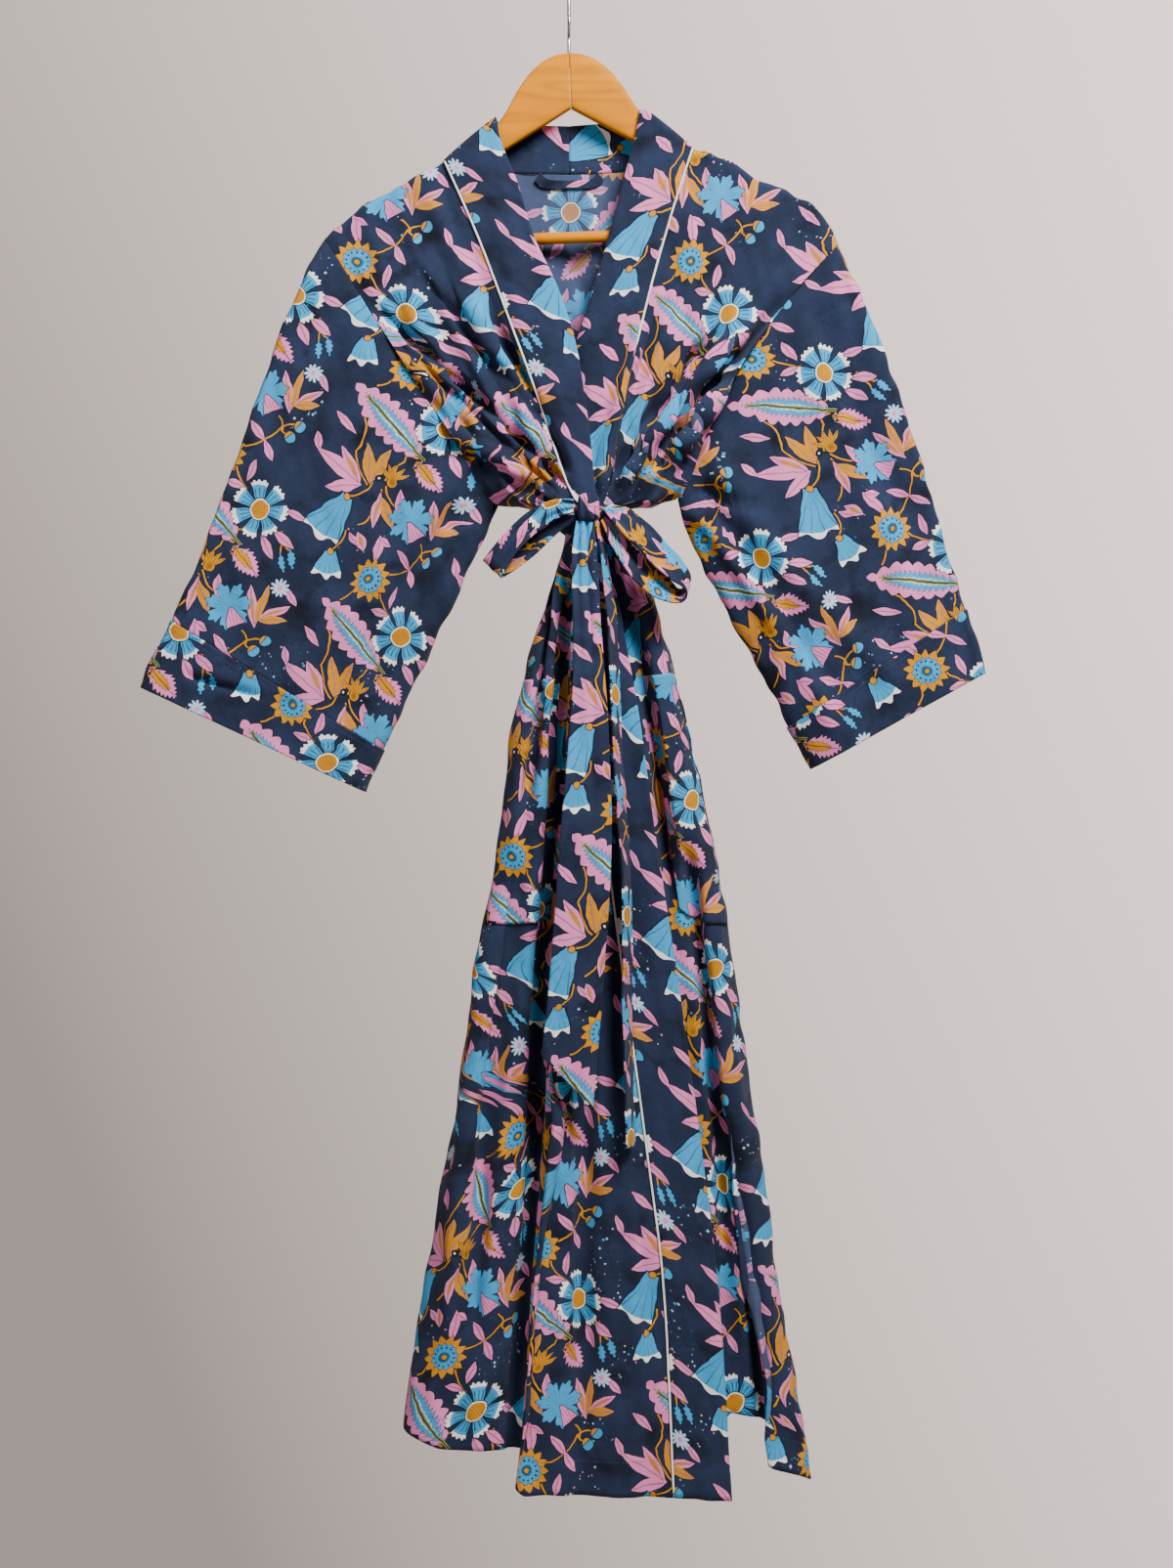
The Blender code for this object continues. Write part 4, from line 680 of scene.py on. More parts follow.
BODY_ROWS = graded(380, ((0.0, 0.012, 9.0), (0.335, 0.03, 1.6)))
BACK_ROWS = graded(270, ((0.0, 0.012, 9.0), (0.335, 0.03, 1.6)))
BACK_COLUMNS = graded(
    96, ((0.0, 0.03, 2.0), (1.0, 0.03, 2.0), (NECK_LEFT_U, 0.02, 2.0), (NECK_RIGHT_U, 0.02, 2.0))
)

# The two halves of the robe. inward is the way from the side seam to the middle, seam is the side
# line, and band_start is where the neckband's print begins.
Half = namedtuple(
    "Half", "side inward seam edge top hem laps ridges lap_u columns creases free neck_free "
    "patch band_start sleeve sleeve_folds sleeve_creases",
)
LEFT = Half(
    "left", 1.0, SIDE_LEFT, EDGE_LEFT, FRONT_LEFT_TOP, HEM_LEFT, LAPS_LEFT, RIDGES_LEFT, 0.46,
    graded(104, ((0.0, 0.05, 1.5), (0.46, 0.07, 2.0))), LEFT_CREASES, BAND_LEFT_FREE,
    NECK_LEFT_FREE, POCKET_LEFT, (20.0, 70.0), SLEEVE_LEFT, SLEEVE_FOLDS_LEFT, SLEEVE_LEFT_CREASES,
)
RIGHT = Half(
    "right", -1.0, SIDE_RIGHT, EDGE_RIGHT, FRONT_RIGHT_TOP, HEM_RIGHT, LAPS_RIGHT, RIDGES_RIGHT,
    0.20, graded(96, ((0.0, 0.05, 1.5), (0.20, 0.07, 2.0))), RIGHT_CREASES, BAND_RIGHT_FREE,
    NECK_RIGHT_FREE, POCKET_RIGHT, (96.0, 18.0), SLEEVE_RIGHT, SLEEVE_FOLDS_RIGHT,
    SLEEVE_RIGHT_CREASES,
)
HALVES = (LEFT, RIGHT)


# The print: flowers and leaves charted one by one, in columns that each drop by half a repeat
COLUMN_WIDTH = 160.0
REPEAT_HEIGHT = 206.0
SPECK_SHARE = 0.5
SPECK_POINT = 0.7
SLEEVE_TURN = -15.0
SLEEVE_SHIFT = (40.0, 20.0)
CUFF_SHIFT = (95.0, -60.0)


def ink(red, green, blue):
    """A screen colour, 0 to 255, as the linear colour that a shader takes."""
    return tuple(
        (c / 12.92 if c <= 0.04045 else ((c + 0.055) / 1.055) ** 2.4)
        for c in (red / 255, green / 255, blue / 255)
    ) + (1.0,)


OUTLINE, OLIVE, CREAM = ink(14, 17, 32), ink(128, 132, 66), ink(240, 234, 226)
# The lighter and the darker navy among these are painted light and painted shade, laid on the ground
# in soft random patches.
Inks = namedtuple(
    "Inks",
    "navy navy_deep navy_light sky sky_deep sky_pale pink pink_deep ochre ochre_deep",
)


def toned(colour, share, white=0.0):
    """A colour made darker or brighter by a share, then mixed with some white."""
    return tuple(part * share * (1 - white) + white for part in colour[:3]) + (1.0,)


def mixed_inks(settings):
    """The print's inks and two navies for painted light and painted shade, from the four that a user
    sets.
    """
    navy, sky = tuple(settings.navy), tuple(settings.sky)
    pink, ochre = tuple(settings.pink), tuple(settings.ochre)
    return Inks(
        navy, toned(navy, 0.34), toned(navy, 1.6), sky, toned(sky, 0.34), toned(sky, 1.0, 0.4),
        pink, toned(pink, 0.45), ochre, toned(ochre, 0.45),
    )


class Reading:
    """A number that a material's nodes work out at each place, written as arithmetic."""

    def __init__(self, tree, socket):
        self.tree = tree
        self.socket = socket

    def worked(self, operation, *others, clamp=False):
        node = self.tree.nodes.new("ShaderNodeMath")
        node.operation = operation
        node.use_clamp = clamp
        for socket, value in zip(node.inputs, (self, *others)):
            plug(self.tree, value, socket)
        return Reading(self.tree, node.outputs[0])

    def __add__(self, other):
        return self.worked("ADD", other)

    def __sub__(self, other):
        return self.worked("SUBTRACT", other)

    def __mul__(self, other):
        return self.worked("MULTIPLY", other)

    def __truediv__(self, other):
        return self.worked("DIVIDE", other)

    def times_plus(self, times, plus):
        return self.worked("MULTIPLY_ADD", times, plus)

    def size(self):
        return self.worked("ABSOLUTE")

    def cosine(self):
        return self.worked("COSINE")

    def sine(self):
        return self.worked("SINE")

    def power(self, exponent):
        return self.worked("POWER", exponent)

    def less(self, other):
        return self.worked("MINIMUM", other)

    def more(self, other):
        return self.worked("MAXIMUM", other)

    def wrapped(self, half):
        return self.worked("WRAP", half, -half)

    def inside(self, soft=0.35):
        """1 where a distance is below nothing, 0 where it is above, with a soft edge."""
        return self.worked("MULTIPLY_ADD", -1 / soft, 0.5, clamp=True)


def new_node(tree, kind, vector=None, **inputs):
    """A material node with some of its inputs set, and a vector linked in."""
    node = tree.nodes.new("ShaderNode" + kind)
    for name, value in inputs.items():
        node.inputs[name].default_value = value
    if vector is not None:
        tree.links.new(vector, node.inputs["Vector"])
    return node


def plug(tree, value, socket):
    """Sets a socket to a constant or links it to a worked value."""
    if isinstance(value, Reading):
        tree.links.new(value.socket, socket)
    elif isinstance(value, bpy.types.NodeSocket):
        tree.links.new(value, socket)
    else:
        socket.default_value = value


def across(tree, vector, direction):
    """How far a vector reaches along a direction."""
    node = tree.nodes.new("ShaderNodeVectorMath")
    node.operation = "DOT_PRODUCT"
    tree.links.new(vector, node.inputs[0])
    node.inputs[1].default_value = direction
    return Reading(tree, node.outputs["Value"])


def blended(tree, share, under, over):
    """One colour laid over another by a share."""
    node = tree.nodes.new("ShaderNodeMix")
    node.data_type = "RGBA"
    plug(tree, share, node.inputs["Factor"])
    plug(tree, under, node.inputs["A"])
    plug(tree, over, node.inputs["B"])
    return node.outputs["Result"]


class Sprig:
    """One motif's own millimetres: x across it and y along it, in every repeat."""

    def __init__(self, tree, repeat, x, y, turn):
        column = x / COLUMN_WIDTH
        away = tree.nodes.new("ShaderNodeVectorMath")
        away.operation = "SUBTRACT"
        tree.links.new(repeat, away.inputs[0])
        away.inputs[1].default_value = (column, y / REPEAT_HEIGHT - column / 2, 0)
        near = tree.nodes.new("ShaderNodeVectorMath")
        near.operation = "WRAP"
        tree.links.new(away.outputs["Vector"], near.inputs[0])
        near.inputs[1].default_value = (0.5, 0.5, 0.5)
        near.inputs[2].default_value = (-0.5, -0.5, -0.5)
        angle = math.radians(turn)
        c, s = math.cos(angle), math.sin(angle)
        wide, high = COLUMN_WIDTH, REPEAT_HEIGHT
        place = near.outputs["Vector"]
        self.tree = tree
        self.x = across(tree, place, (wide * c + high / 2 * s, high * s, 0))
        self.y = across(tree, place, (-wide * s + high / 2 * c, high * c, 0))

    def radius(self):
        return self.x.times_plus(self.x, self.y * self.y).power(0.5)

    def angle(self):
        return self.x.worked("ARCTAN2", self.y)


def leaf_edge(sprig, length, width, blunt=2.0):
    """The distance outside a leaf that stands on its base and points along y."""
    along = sprig.y.times_plus(2 / length, -1.0)
    reach = along.size().power(blunt).times_plus(-width / 2, width / 2)
    return sprig.x.size() - reach


def daisy(cloth, sprig):
    """Seven fringed petals round a seeded eye."""
    r, turn = sprig.radius(), sprig.angle()
    petal = turn.wrapped(math.pi / 7)
    fringe = (turn * 35.0).cosine()
    side = (r * petal.size()) - r.times_plus(0.27, 1.1)
    tip = r - fringe.times_plus(1.1, 27.0)
    edge = side.more(tip)
    cloth.stamp(edge, cloth.inks.sky)
    cloth.lay((petal * 26.0).cosine().times_plus(-1.0, 0.62).more(r - 20.0), cloth.inks.sky_deep)
    cloth.lay(edge.more(r * -1.0 + 23.0), CREAM)
    cloth.lay(r - 10.6, OUTLINE)
    cloth.lay(r - 9.8, CREAM)
    cloth.lay(r - 8.6, cloth.inks.ochre)
    seeds = (sprig.x * 2.1).cosine() * (sprig.y * 2.1).cosine()
    cloth.lay((seeds * -1.0 + 0.35).more(r - 7.8), cloth.inks.ochre_deep)


def dahlia(cloth, sprig):
    """A round flower with pointed ochre petals behind a blue dotted face."""
    r, turn = sprig.radius(), sprig.angle()
    petal = turn.wrapped(math.pi / 13)
    rear = r - petal.size().times_plus(-24.0, 21.0)
    cloth.stamp(rear, cloth.inks.ochre, 0.8)
    face = r - turn.times_plus(13.0, math.pi).cosine().times_plus(1.0, 12.2)
    cloth.stamp(face, cloth.inks.sky, 0.6)
    dots = (petal * r).worked("MULTIPLY", petal * r) + (r - 9.3) * (r - 9.3)
    cloth.lay(dots.power(0.5) - 0.9, OUTLINE)
    cloth.lay(r - 5.0, cloth.inks.sky_deep)
    cloth.lay(r - 3.0, OUTLINE)
    cloth.lay(r - 2.3, cloth.inks.ochre)


def feather_leaf(cloth, sprig, length=86.0):
    """A long scalloped leaf with a toothed blue heart and a pale midrib."""
    bay = (sprig.y * 0.27).sine().size()
    edge = leaf_edge(sprig, length, 27.0, 2.4) - bay * 4.4
    cloth.stamp(edge, cloth.inks.pink)
    slant = sprig.x.size().times_plus(-0.9, sprig.y)
    tooth = slant.wrapped(2.6).size().times_plus(1.5, -1.8)
    heart = leaf_edge(sprig, length - 10.0, 15.0, 2.6) + tooth
    cloth.stamp(heart, cloth.inks.sky, 0.7)
    cloth.lay(leaf_edge(sprig, length - 10.0, 6.0, 2.2) + tooth * 0.3, cloth.inks.sky_pale)
    cloth.lay((sprig.x.size() - 1.6).more(sprig.y * -1.0 - 8.0).more(sprig.y - length + 10.0), OLIVE)
    cloth.lay((sprig.x.size() - 0.5).more(sprig.y * -1.0 - 8.0).more(sprig.y - length + 12.0), OUTLINE)


def bell(cloth, sprig, length, half_mouth, frill, ribs):
    """A bell-shaped flower that fans out along y, with ribs, a cap and a ragged mouth."""
    r, turn = sprig.radius(), sprig.angle()
    mouth = (turn * 12.0).cosine()
    edge = sprig.x.size() - (r / length).power(0.6).times_plus(half_mouth, 0.4)
    edge = edge.more(r - mouth.times_plus(frill, length)).more(sprig.y * -1.0)
    cloth.stamp(edge, cloth.inks.sky)
    rib = (turn * ribs).cosine().size().times_plus(4.0, -0.55)
    cloth.lay(rib.more(edge + 0.4), cloth.inks.sky_deep)
    cloth.lay(edge.more(r * -1.0 + length - frill * 1.5), CREAM)
    cap = sprig.radius() - 3.0
    cloth.stamp(cap, cloth.inks.ochre, 0.7)


def pink_bloom(cloth, sprig):
    """A ragged open flower with a pink cup."""
    r, turn = sprig.radius(), sprig.angle()
    lobes = (turn * 3.5).cosine().size().power(0.6)
    frill = (turn * 21.0).cosine()
    edge = r - (lobes.times_plus(11.0, 10.5) + frill * 1.6)
    cloth.stamp(edge, cloth.inks.sky)
    cloth.lay((turn * 10.5).cosine().size().times_plus(5.0, -0.7).more(r - 13.0), cloth.inks.sky_deep)
    low = sprig.y + 11.0
    cup = (sprig.x.size() + low * 0.45 - 5.0).more(low.size() - 8.5)
    cloth.stamp(cup, cloth.inks.pink, 0.8)
    cloth.lay(((sprig.x * 2.2).cosine().times_plus(-2.0, 1.5)).more(cup + 0.5), cloth.inks.pink_deep)


def thistle(cloth, sprig):
    """A spiky ochre crown."""
    r, turn = sprig.radius(), sprig.angle()
    spike = turn.wrapped(0.22).size()
    fan = (r - spike.times_plus(-38.0, 17.0)).more(turn.size() * 14.0 - 15.0)
    edge = fan.less(r - 5.0)
    cloth.stamp(edge, cloth.inks.ochre)
    cloth.lay((spike * r - 0.35).more(edge + 1.0), cloth.inks.ochre_deep)


def jagged_leaf(cloth, sprig, length=38.0):
    """A toothed pink leaf with an ochre heart."""
    slant = sprig.x.size().times_plus(-0.7, sprig.y)
    tooth = slant.wrapped(2.6).size().times_plus(1.3, -1.7)
    edge = leaf_edge(sprig, length, 19.0, 1.8) + tooth
    cloth.stamp(edge, cloth.inks.pink)
    heart = leaf_edge(sprig, length - 9.0, 9.0, 1.6) + tooth * 0.5
    cloth.stamp(heart, cloth.inks.ochre, 0.5)
    cloth.lay((sprig.x.size() - 0.35).more(leaf_edge(sprig, length, 10.0)), OUTLINE)


def berry(cloth, sprig):
    """A blue berry under an ochre cap."""
    r = sprig.radius()
    cloth.lay(r - 6.1, OUTLINE)
    cloth.lay(r - 5.3, cloth.inks.sky)
    cloth.lay((r - 5.3).more(sprig.y * -1.0 + 2.2), cloth.inks.ochre)
    cloth.lay((r - 5.3).more((sprig.y - 1.8).size() - 0.4), OUTLINE)


def star(cloth, sprig):
    """A small blue pompom with loose rays."""
    r, turn = sprig.radius(), sprig.angle()
    rays = r - (turn * 5.5).cosine().size().times_plus(5.0, 4.0)
    cloth.stamp(rays, cloth.inks.sky_pale, 0.5)
    cloth.lay(r - 2.4, cloth.inks.pink)


def seed(cloth, sprig):
    """A black seed with a white glint."""
    cloth.lay(sprig.radius() - 3.6, OUTLINE)
    cloth.lay(sprig.radius() - 1.1, CREAM)


def catkin(cloth, sprig, length=17.0):
    """A hanging string of pale beads."""
    bead = (sprig.y * 1.5).cosine()
    edge = leaf_edge(sprig, length, 6.0) - bead * 0.7
    cloth.stamp(edge, cloth.inks.sky, 0.6)


Motif = namedtuple("Motif", "x y turn draw")
MOTIFS = listed(
    Motif, (-19, -31, 49, feather_leaf), (-42, 50, 20, dahlia), (0, 0, 10, daisy),
    (-14, 111, 30, pink_bloom),
    (80, 24, 154, lambda cloth, sprig: bell(cloth, sprig, 46.0, 19.0, 2.2, 11.0)),
    (73, -30, 180, lambda cloth, sprig: bell(cloth, sprig, 25.0, 13.0, 2.4, 11.0)),
    (-39, -60, 352, thistle), (-20, -38, 228, jagged_leaf), (25, 83, 60, berry),
    (16, 72, 40, berry), (30, 135, 0, star), (28, -39, 190, catkin), (36, -35, 198, catkin),
    (-51, -58, 0, seed),
)

# Small leaves: where each one's base lies, which way it points, and whether it is pink,
# has an ochre heart (1) or is all ochre (2)
Leaf = namedtuple("Leaf", "x y turn length width ochre")
LEAVES = listed(
    Leaf, (13, 94, 14, 41, 12, 1), (13, 97, 350, 40, 9, 2), (16, 104, 299, 31, 9, 1),
    (14, 102, 276, 28, 10, 2), (-6, 64, 42, 25, 9, 0), (-7, 66, 210, 22, 9, 0),
    (-39, 65, 8, 30, 11, 0), (-18, 19, 78, 19, 9, 0), (-16, 25, 347, 22, 9, 0),
    (24, 3, 251, 24, 9, 0), (7, -25, 213, 24, 11, 0), (18, -19, 236, 25, 11, 0),
    (-67, -67, 57, 54, 16, 0), (-68, -67, 34, 41, 13, 1), (-67, -67, 99, 36, 14, 0),
    (-59, -65, 12, 40, 13, 2), (-58, -63, 340, 36, 13, 2), (-47, -71, 172, 35, 10, 1),
    (-48, -74, 210, 35, 12, 2), (-29, -66, 186, 25, 10, 0), (-80, -19, 48, 28, 9, 0),
    (-30, 84, 60, 16, 8, 0), (96, -8, 205, 20, 11, 1), (88, -10, 222, 15, 7, 0),
    (50, 62, 20, 20, 8, 0), (48, 120, 40, 22, 8, 0),
)

# Stems: from one place to another, bowed aside by bow
Stem = namedtuple("Stem", "x y to_x to_y bow")
STEMS = listed(
    Stem, (-25, 57, 6, 80, -4), (6, 80, 18, 75, -3), (6, 80, 25, 84, 2), (-56, 43, -69, 29, 3),
    (-29, 38, -15, 17, -2), (-13, -21, -31, -39, -4), (-20, -34, -28, -24, 3),
    (-31, -39, -46, -60, -2), (-44, -64, -7, -88, -9), (-47, -68, -66, -104, 7),
    (81, 25, 104, 44, -6), (-62, -66, -77, -35, 2), (-77, -35, -75, -3, -5), (84, -8, 73, -29, 4),
    (-21, -43, -8, -48, -3), (20, -22, 28, -40, 3), (26, -18, 36, -36, -3), (2, 90, 8, 78, 2),
)


class PrintedCloth:
    """The colour of the cloth, built up one printed shape over another."""

    def __init__(self, tree, ground, inks):
        self.tree = tree
        self.colour = ground
        self.inks = inks

    def lay(self, distance, colour):
        """Prints one ink wherever a distance is below nothing."""
        self.colour = blended(self.tree, distance.inside(), self.colour, colour)

    def stamp(self, distance, colour, rim=0.9):
        """Prints one ink with a dark rim round it."""
        self.lay(distance - rim, OUTLINE)
        self.lay(distance, colour)


def printed_stems(tree, repeat, cloth):
    """All the stems as one outlined ochre line, each an arc of a circle."""
    nearest = None
    for stem in STEMS:
        run_x, run_y = stem.to_x - stem.x, stem.to_y - stem.y
        chord = math.hypot(run_x, run_y)
        radius = (chord ** 2 / 4 + stem.bow ** 2) / (2 * abs(stem.bow))
        side = math.copysign(1.0, stem.bow)
        out_x, out_y = -run_y / chord * side, run_x / chord * side
        back = radius - abs(stem.bow)
        sprig = Sprig(
            tree, repeat, (stem.x + stem.to_x) / 2 - out_x * back,
            (stem.y + stem.to_y) / 2 - out_y * back, math.degrees(math.atan2(-out_x, out_y)),
        )
        r = sprig.radius()
        line = (r - radius).size() - 0.75
        line = line.more(r.times_plus(back / radius, sprig.y * -1.0))
        nearest = line if nearest is None else nearest.less(line)
    cloth.stamp(nearest, cloth.inks.ochre, 0.7)


def printed_leaves(tree, repeat, cloth):
    """All the small leaves: outline, blade, heart and midrib, each in one pass."""
    blade = heart = rib = None
    for leaf in LEAVES:
        sprig = Sprig(tree, repeat, leaf.x, leaf.y, leaf.turn)
        edge = leaf_edge(sprig, leaf.length, leaf.width * 0.86, 1.9)
        middle = (sprig.x.size() - 0.5).more(edge + 1.2)
        blade = edge if blade is None else blade.less(edge)
        rib = middle if rib is None else rib.less(middle)
        if leaf.ochre:
            within = edge + leaf.width * (0.24 if leaf.ochre == 1 else 0.0)
            heart = within if heart is None else heart.less(within)
    cloth.stamp(blade, cloth.inks.pink, 0.8)
    cloth.lay(heart, cloth.inks.ochre)
    cloth.lay(rib, cloth.inks.pink_deep)


def repeat_places(tree, flat):
    """Flat cloth metres as places in the skewed repeat, with a hand-cut wobble."""
    wobble = new_node(tree, "TexNoise", flat, Scale=95.0, Detail=1.0)
    shift = tree.nodes.new("ShaderNodeVectorMath")
    shift.operation = "MULTIPLY_ADD"
    tree.links.new(wobble.outputs["Color"], shift.inputs[0])
    shift.inputs[1].default_value = (0.0030, 0.0030, 0)
    tree.links.new(flat, shift.inputs[2])
    place = shift.outputs["Vector"]
    wide = across(tree, place, (1000 / COLUMN_WIDTH, 0, 0))
    high = across(tree, place, (-500 / COLUMN_WIDTH, 1000 / REPEAT_HEIGHT, 0))
    joined = tree.nodes.new("ShaderNodeCombineXYZ")
    plug(tree, wide, joined.inputs["X"])
    plug(tree, high, joined.inputs["Y"])
    return joined.outputs["Vector"]


def cloud(tree, flat, scale, low, high, detail=3.0):
    """A soft patchy share between two heights of a noise."""
    share = Reading(tree, noise(tree, flat, scale, detail))
    return share.worked("MULTIPLY_ADD", 1 / (high - low), -low / (high - low), clamp=True)


def specks(tree, flat, cloth, scale, size, keep, colours):
    """Loose pointed flecks that gather in clouds."""
    cells = tree.nodes.new("ShaderNodeTexVoronoi")
    cells.distance = "MINKOWSKI"
    cells.inputs["Exponent"].default_value = SPECK_POINT
    cells.inputs["Scale"].default_value = scale
    tree.links.new(flat, cells.inputs["Vector"])
    near = Reading(tree, cells.outputs["Distance"])
    pick = tree.nodes.new("ShaderNodeSeparateColor")
    tree.links.new(cells.outputs["Color"], pick.inputs[0])
    choice = Reading(tree, pick.outputs[0])
    group = cloud(tree, flat, 16.0, keep, keep + 0.03, detail=0.0)
    spot = (near.more(choice - SPECK_SHARE) - size).more(group * -1.0 + 0.5)
    ramp = tree.nodes.new("ShaderNodeValToRGB")
    ramp.color_ramp.interpolation = "CONSTANT"
    stops = ramp.color_ramp.elements
    for i, colour in enumerate(colours):
        stop = stops[0] if i == 0 else stops.new(SPECK_SHARE * i / len(colours))
        stop.color = colour
    tree.links.new(pick.outputs[0], ramp.inputs[0])
    cloth.colour = blended(tree, spot.inside(0.06), cloth.colour, ramp.outputs["Color"])


def printed_colour(tree, flat, repeat, inks):
    """The whole print over a navy ground mottled with painted light and painted shade."""
    # Painted light: soft random patches of lighter navy; painted shade: patches of darker navy.
    ground = blended(tree, cloud(tree, flat, 20.0, 0.38, 0.64), inks.navy, inks.navy_light)
    ground = blended(tree, cloud(tree, flat, 24.0, 0.54, 0.70, 4.0), ground, inks.navy_deep)
    cloth = PrintedCloth(tree, ground, inks)
    specks(tree, flat, cloth, 230.0, 0.36, 0.57, (OUTLINE, OUTLINE))
    specks(tree, flat, cloth, 170.0, 0.34, 0.62, (inks.sky, inks.pink, inks.sky_pale))
    printed_stems(tree, repeat, cloth)
    printed_leaves(tree, repeat, cloth)
    for motif in MOTIFS:
        motif.draw(cloth, Sprig(tree, repeat, motif.x, motif.y, motif.turn))
    return cloth.colour


def fresh_material(name, roughness, specular=0.5):
    """An empty material: its tree and its Principled shader."""
    made = bpy.data.materials.new(name)
    made.use_nodes = True
    shader = made.node_tree.nodes["Principled BSDF"]
    shader.inputs["Roughness"].default_value = roughness
    shader.inputs["Specular IOR Level"].default_value = specular
    return made, made.node_tree, shader


def noise(tree, place, scale, detail=2.0, roughness=0.5):
    return new_node(
        tree, "TexNoise", place, Scale=scale, Detail=detail, Roughness=roughness
    ).outputs["Fac"]


def raised(tree, height, distance, shader):
    """Fine relief from a height, given in metres for a height of 1."""
    relief = new_node(tree, "Bump", Strength=1.0, Distance=distance)
    plug(tree, height, relief.inputs["Height"])
    tree.links.new(relief.outputs["Normal"], shader.inputs["Normal"])


def own_place(tree):
    return tree.nodes.new("ShaderNodeTexCoord").outputs["Object"]


def cloth_place(tree):
    """Places on the flat cloth, in metres."""
    node = tree.nodes.new("ShaderNodeUVMap")
    node.uv_map = "Cloth"
    return node.outputs["UV"]


def woven(tree, flat, place, shader):
    """Relief of plain weave threads and of small soft crumples."""
    lift = noise(tree, place, 34.0, 3.0, 0.55)
    threads = across(tree, flat, (2 * math.pi / THREAD, 0, 0)).sine()
    threads = threads * across(tree, flat, (0, 2 * math.pi / THREAD, 0)).sine()
    raised(tree, Reading(tree, lift).times_plus(1.0, threads * 0.03), 0.0032, shader)


def printed_cotton(settings, inside=False):
    """The printed cotton, or its paler wrong side."""
    name = "Printed cotton, inside" if inside else "Printed cotton"
    made = bpy.data.materials.get(name)
    if made:
        return made
    made, tree, shader = fresh_material(name, 0.88, 0.18)
    flat, place = cloth_place(tree), own_place(tree)
    colour = printed_colour(tree, flat, repeat_places(tree, flat), mixed_inks(settings))
    if inside:
        colour = blended(tree, settings.inside_fade, colour, ink(92, 106, 142))
    tree.links.new(colour, shader.inputs["Base Color"])
    shader.inputs["Sheen Weight"].default_value = 0.04
    shader.inputs["Sheen Roughness"].default_value = 0.5
    woven(tree, flat, place, shader)
    return made


def piping_cotton(settings):
    """Unbleached cotton cord cover, its tone and fine relief from one noise."""
    made, tree, shader = fresh_material("White piping", 0.8, 0.2)
    place = own_place(tree)
    soft = Reading(tree, noise(tree, place, 420.0, 2.0))
    colour = blended(tree, soft, settings.piping_shade, settings.piping_colour)
    tree.links.new(colour, shader.inputs["Base Color"])
    raised(tree, soft, 0.0004, shader)
    return made


def stitch_thread():
    made, tree, shader = fresh_material("Navy thread", 0.7)
    soft = Reading(tree, noise(tree, own_place(tree), 900.0))
    colour = blended(tree, soft, ink(20, 26, 48), ink(70, 84, 120))
    tree.links.new(colour, shader.inputs["Base Color"])
    return made


def honey_wood(settings):
    """Lacquered wood with fine grain along the arms and a few darker growth lines."""
    made, tree, shader = fresh_material("Honey wood", 0.48, 0.06)
    place = own_place(tree)
    stretched = new_node(tree, "Mapping", place, Scale=GRAIN_STRETCH, Rotation=GRAIN_TURN)
    along = stretched.outputs["Vector"]
    grain = Reading(tree, noise(tree, along, 95.0, 4.0, 0.6))
    rings = Reading(tree, noise(tree, along, 26.0, 1.0)) * 46.0
    lines = rings.sine().worked("MULTIPLY_ADD", 0.5, 0.5, clamp=True).power(3.0)
    colour = blended(tree, grain, settings.wood_dark, settings.wood_light)
    colour = blended(tree, lines * 0.30, colour, settings.wood_line)
    tree.links.new(colour, shader.inputs["Base Color"])
    raised(tree, grain, 0.0003, shader)
    return made


def hook_wire():
    """Plated steel wire, faintly drawn along its length."""
    made, tree, shader = fresh_material("Plated wire", 0.26)
    place = own_place(tree)
    worn = Reading(tree, noise(tree, place, 160.0, 3.0))
    colour = blended(tree, worn, ink(150, 150, 150), ink(208, 208, 206))
    tree.links.new(colour, shader.inputs["Base Color"])
    shader.inputs["Metallic"].default_value = 1.0
    plug(tree, worn.worked("MULTIPLY_ADD", 0.16, 0.18), shader.inputs["Roughness"])
    return made


def new_piece(name, shape, materials, replaces=True):
    """Puts a bmesh in the scene as one piece, in place of the node of its name if there is one."""
    mesh = bpy.data.meshes.new(name)
    shape.to_mesh(mesh)
    shape.free()
    mesh.shade_smooth()
    for made in materials:
        mesh.materials.append(made)
    piece = bpy.data.objects.new(name, mesh)
    bpy.context.scene.collection.objects.link(piece)
    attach(piece, "root")
    if replaces:
        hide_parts(name)
    return piece


def woven_grid(points, flat=None, closed=False, towards=None):
    """A bmesh grid on an array of points, with flat cloth places in metres on its UV map."""
    rows, columns = points.shape[:2]
    sheet = bmesh.new()
    bmesh.ops.create_grid(sheet, x_segments=columns - 1, y_segments=rows - 1, size=0.5)
    places = {}
    for vertex in sheet.verts:
        column = round((vertex.co.x + 0.5) * (columns - 1))
        row = round((vertex.co.y + 0.5) * (rows - 1))
        places[vertex] = (row, column)
        vertex.co = points[row, column] * MM
    if flat is not None:
        layer = sheet.loops.layers.uv.new("Cloth")
        for face in sheet.faces:
            for corner in face.loops:
                corner[layer].uv = flat[places[corner.vert]]
    around = points[:, 1:] - points[:, :-1]
    down = points[1:, :] - points[:-1, :]
    normal = np.cross(around[:-1], down[:, :-1])
    middles = points.mean(axis=1, keepdims=True)
    outward = (points - middles)[:-1, :-1] if towards is None else np.array(towards, float)
    if (normal * outward).sum() < 0:
        bmesh.ops.reverse_faces(sheet, faces=sheet.faces)
    if closed:
        bmesh.ops.remove_doubles(sheet, verts=sheet.verts, dist=0.00002)
    return sheet


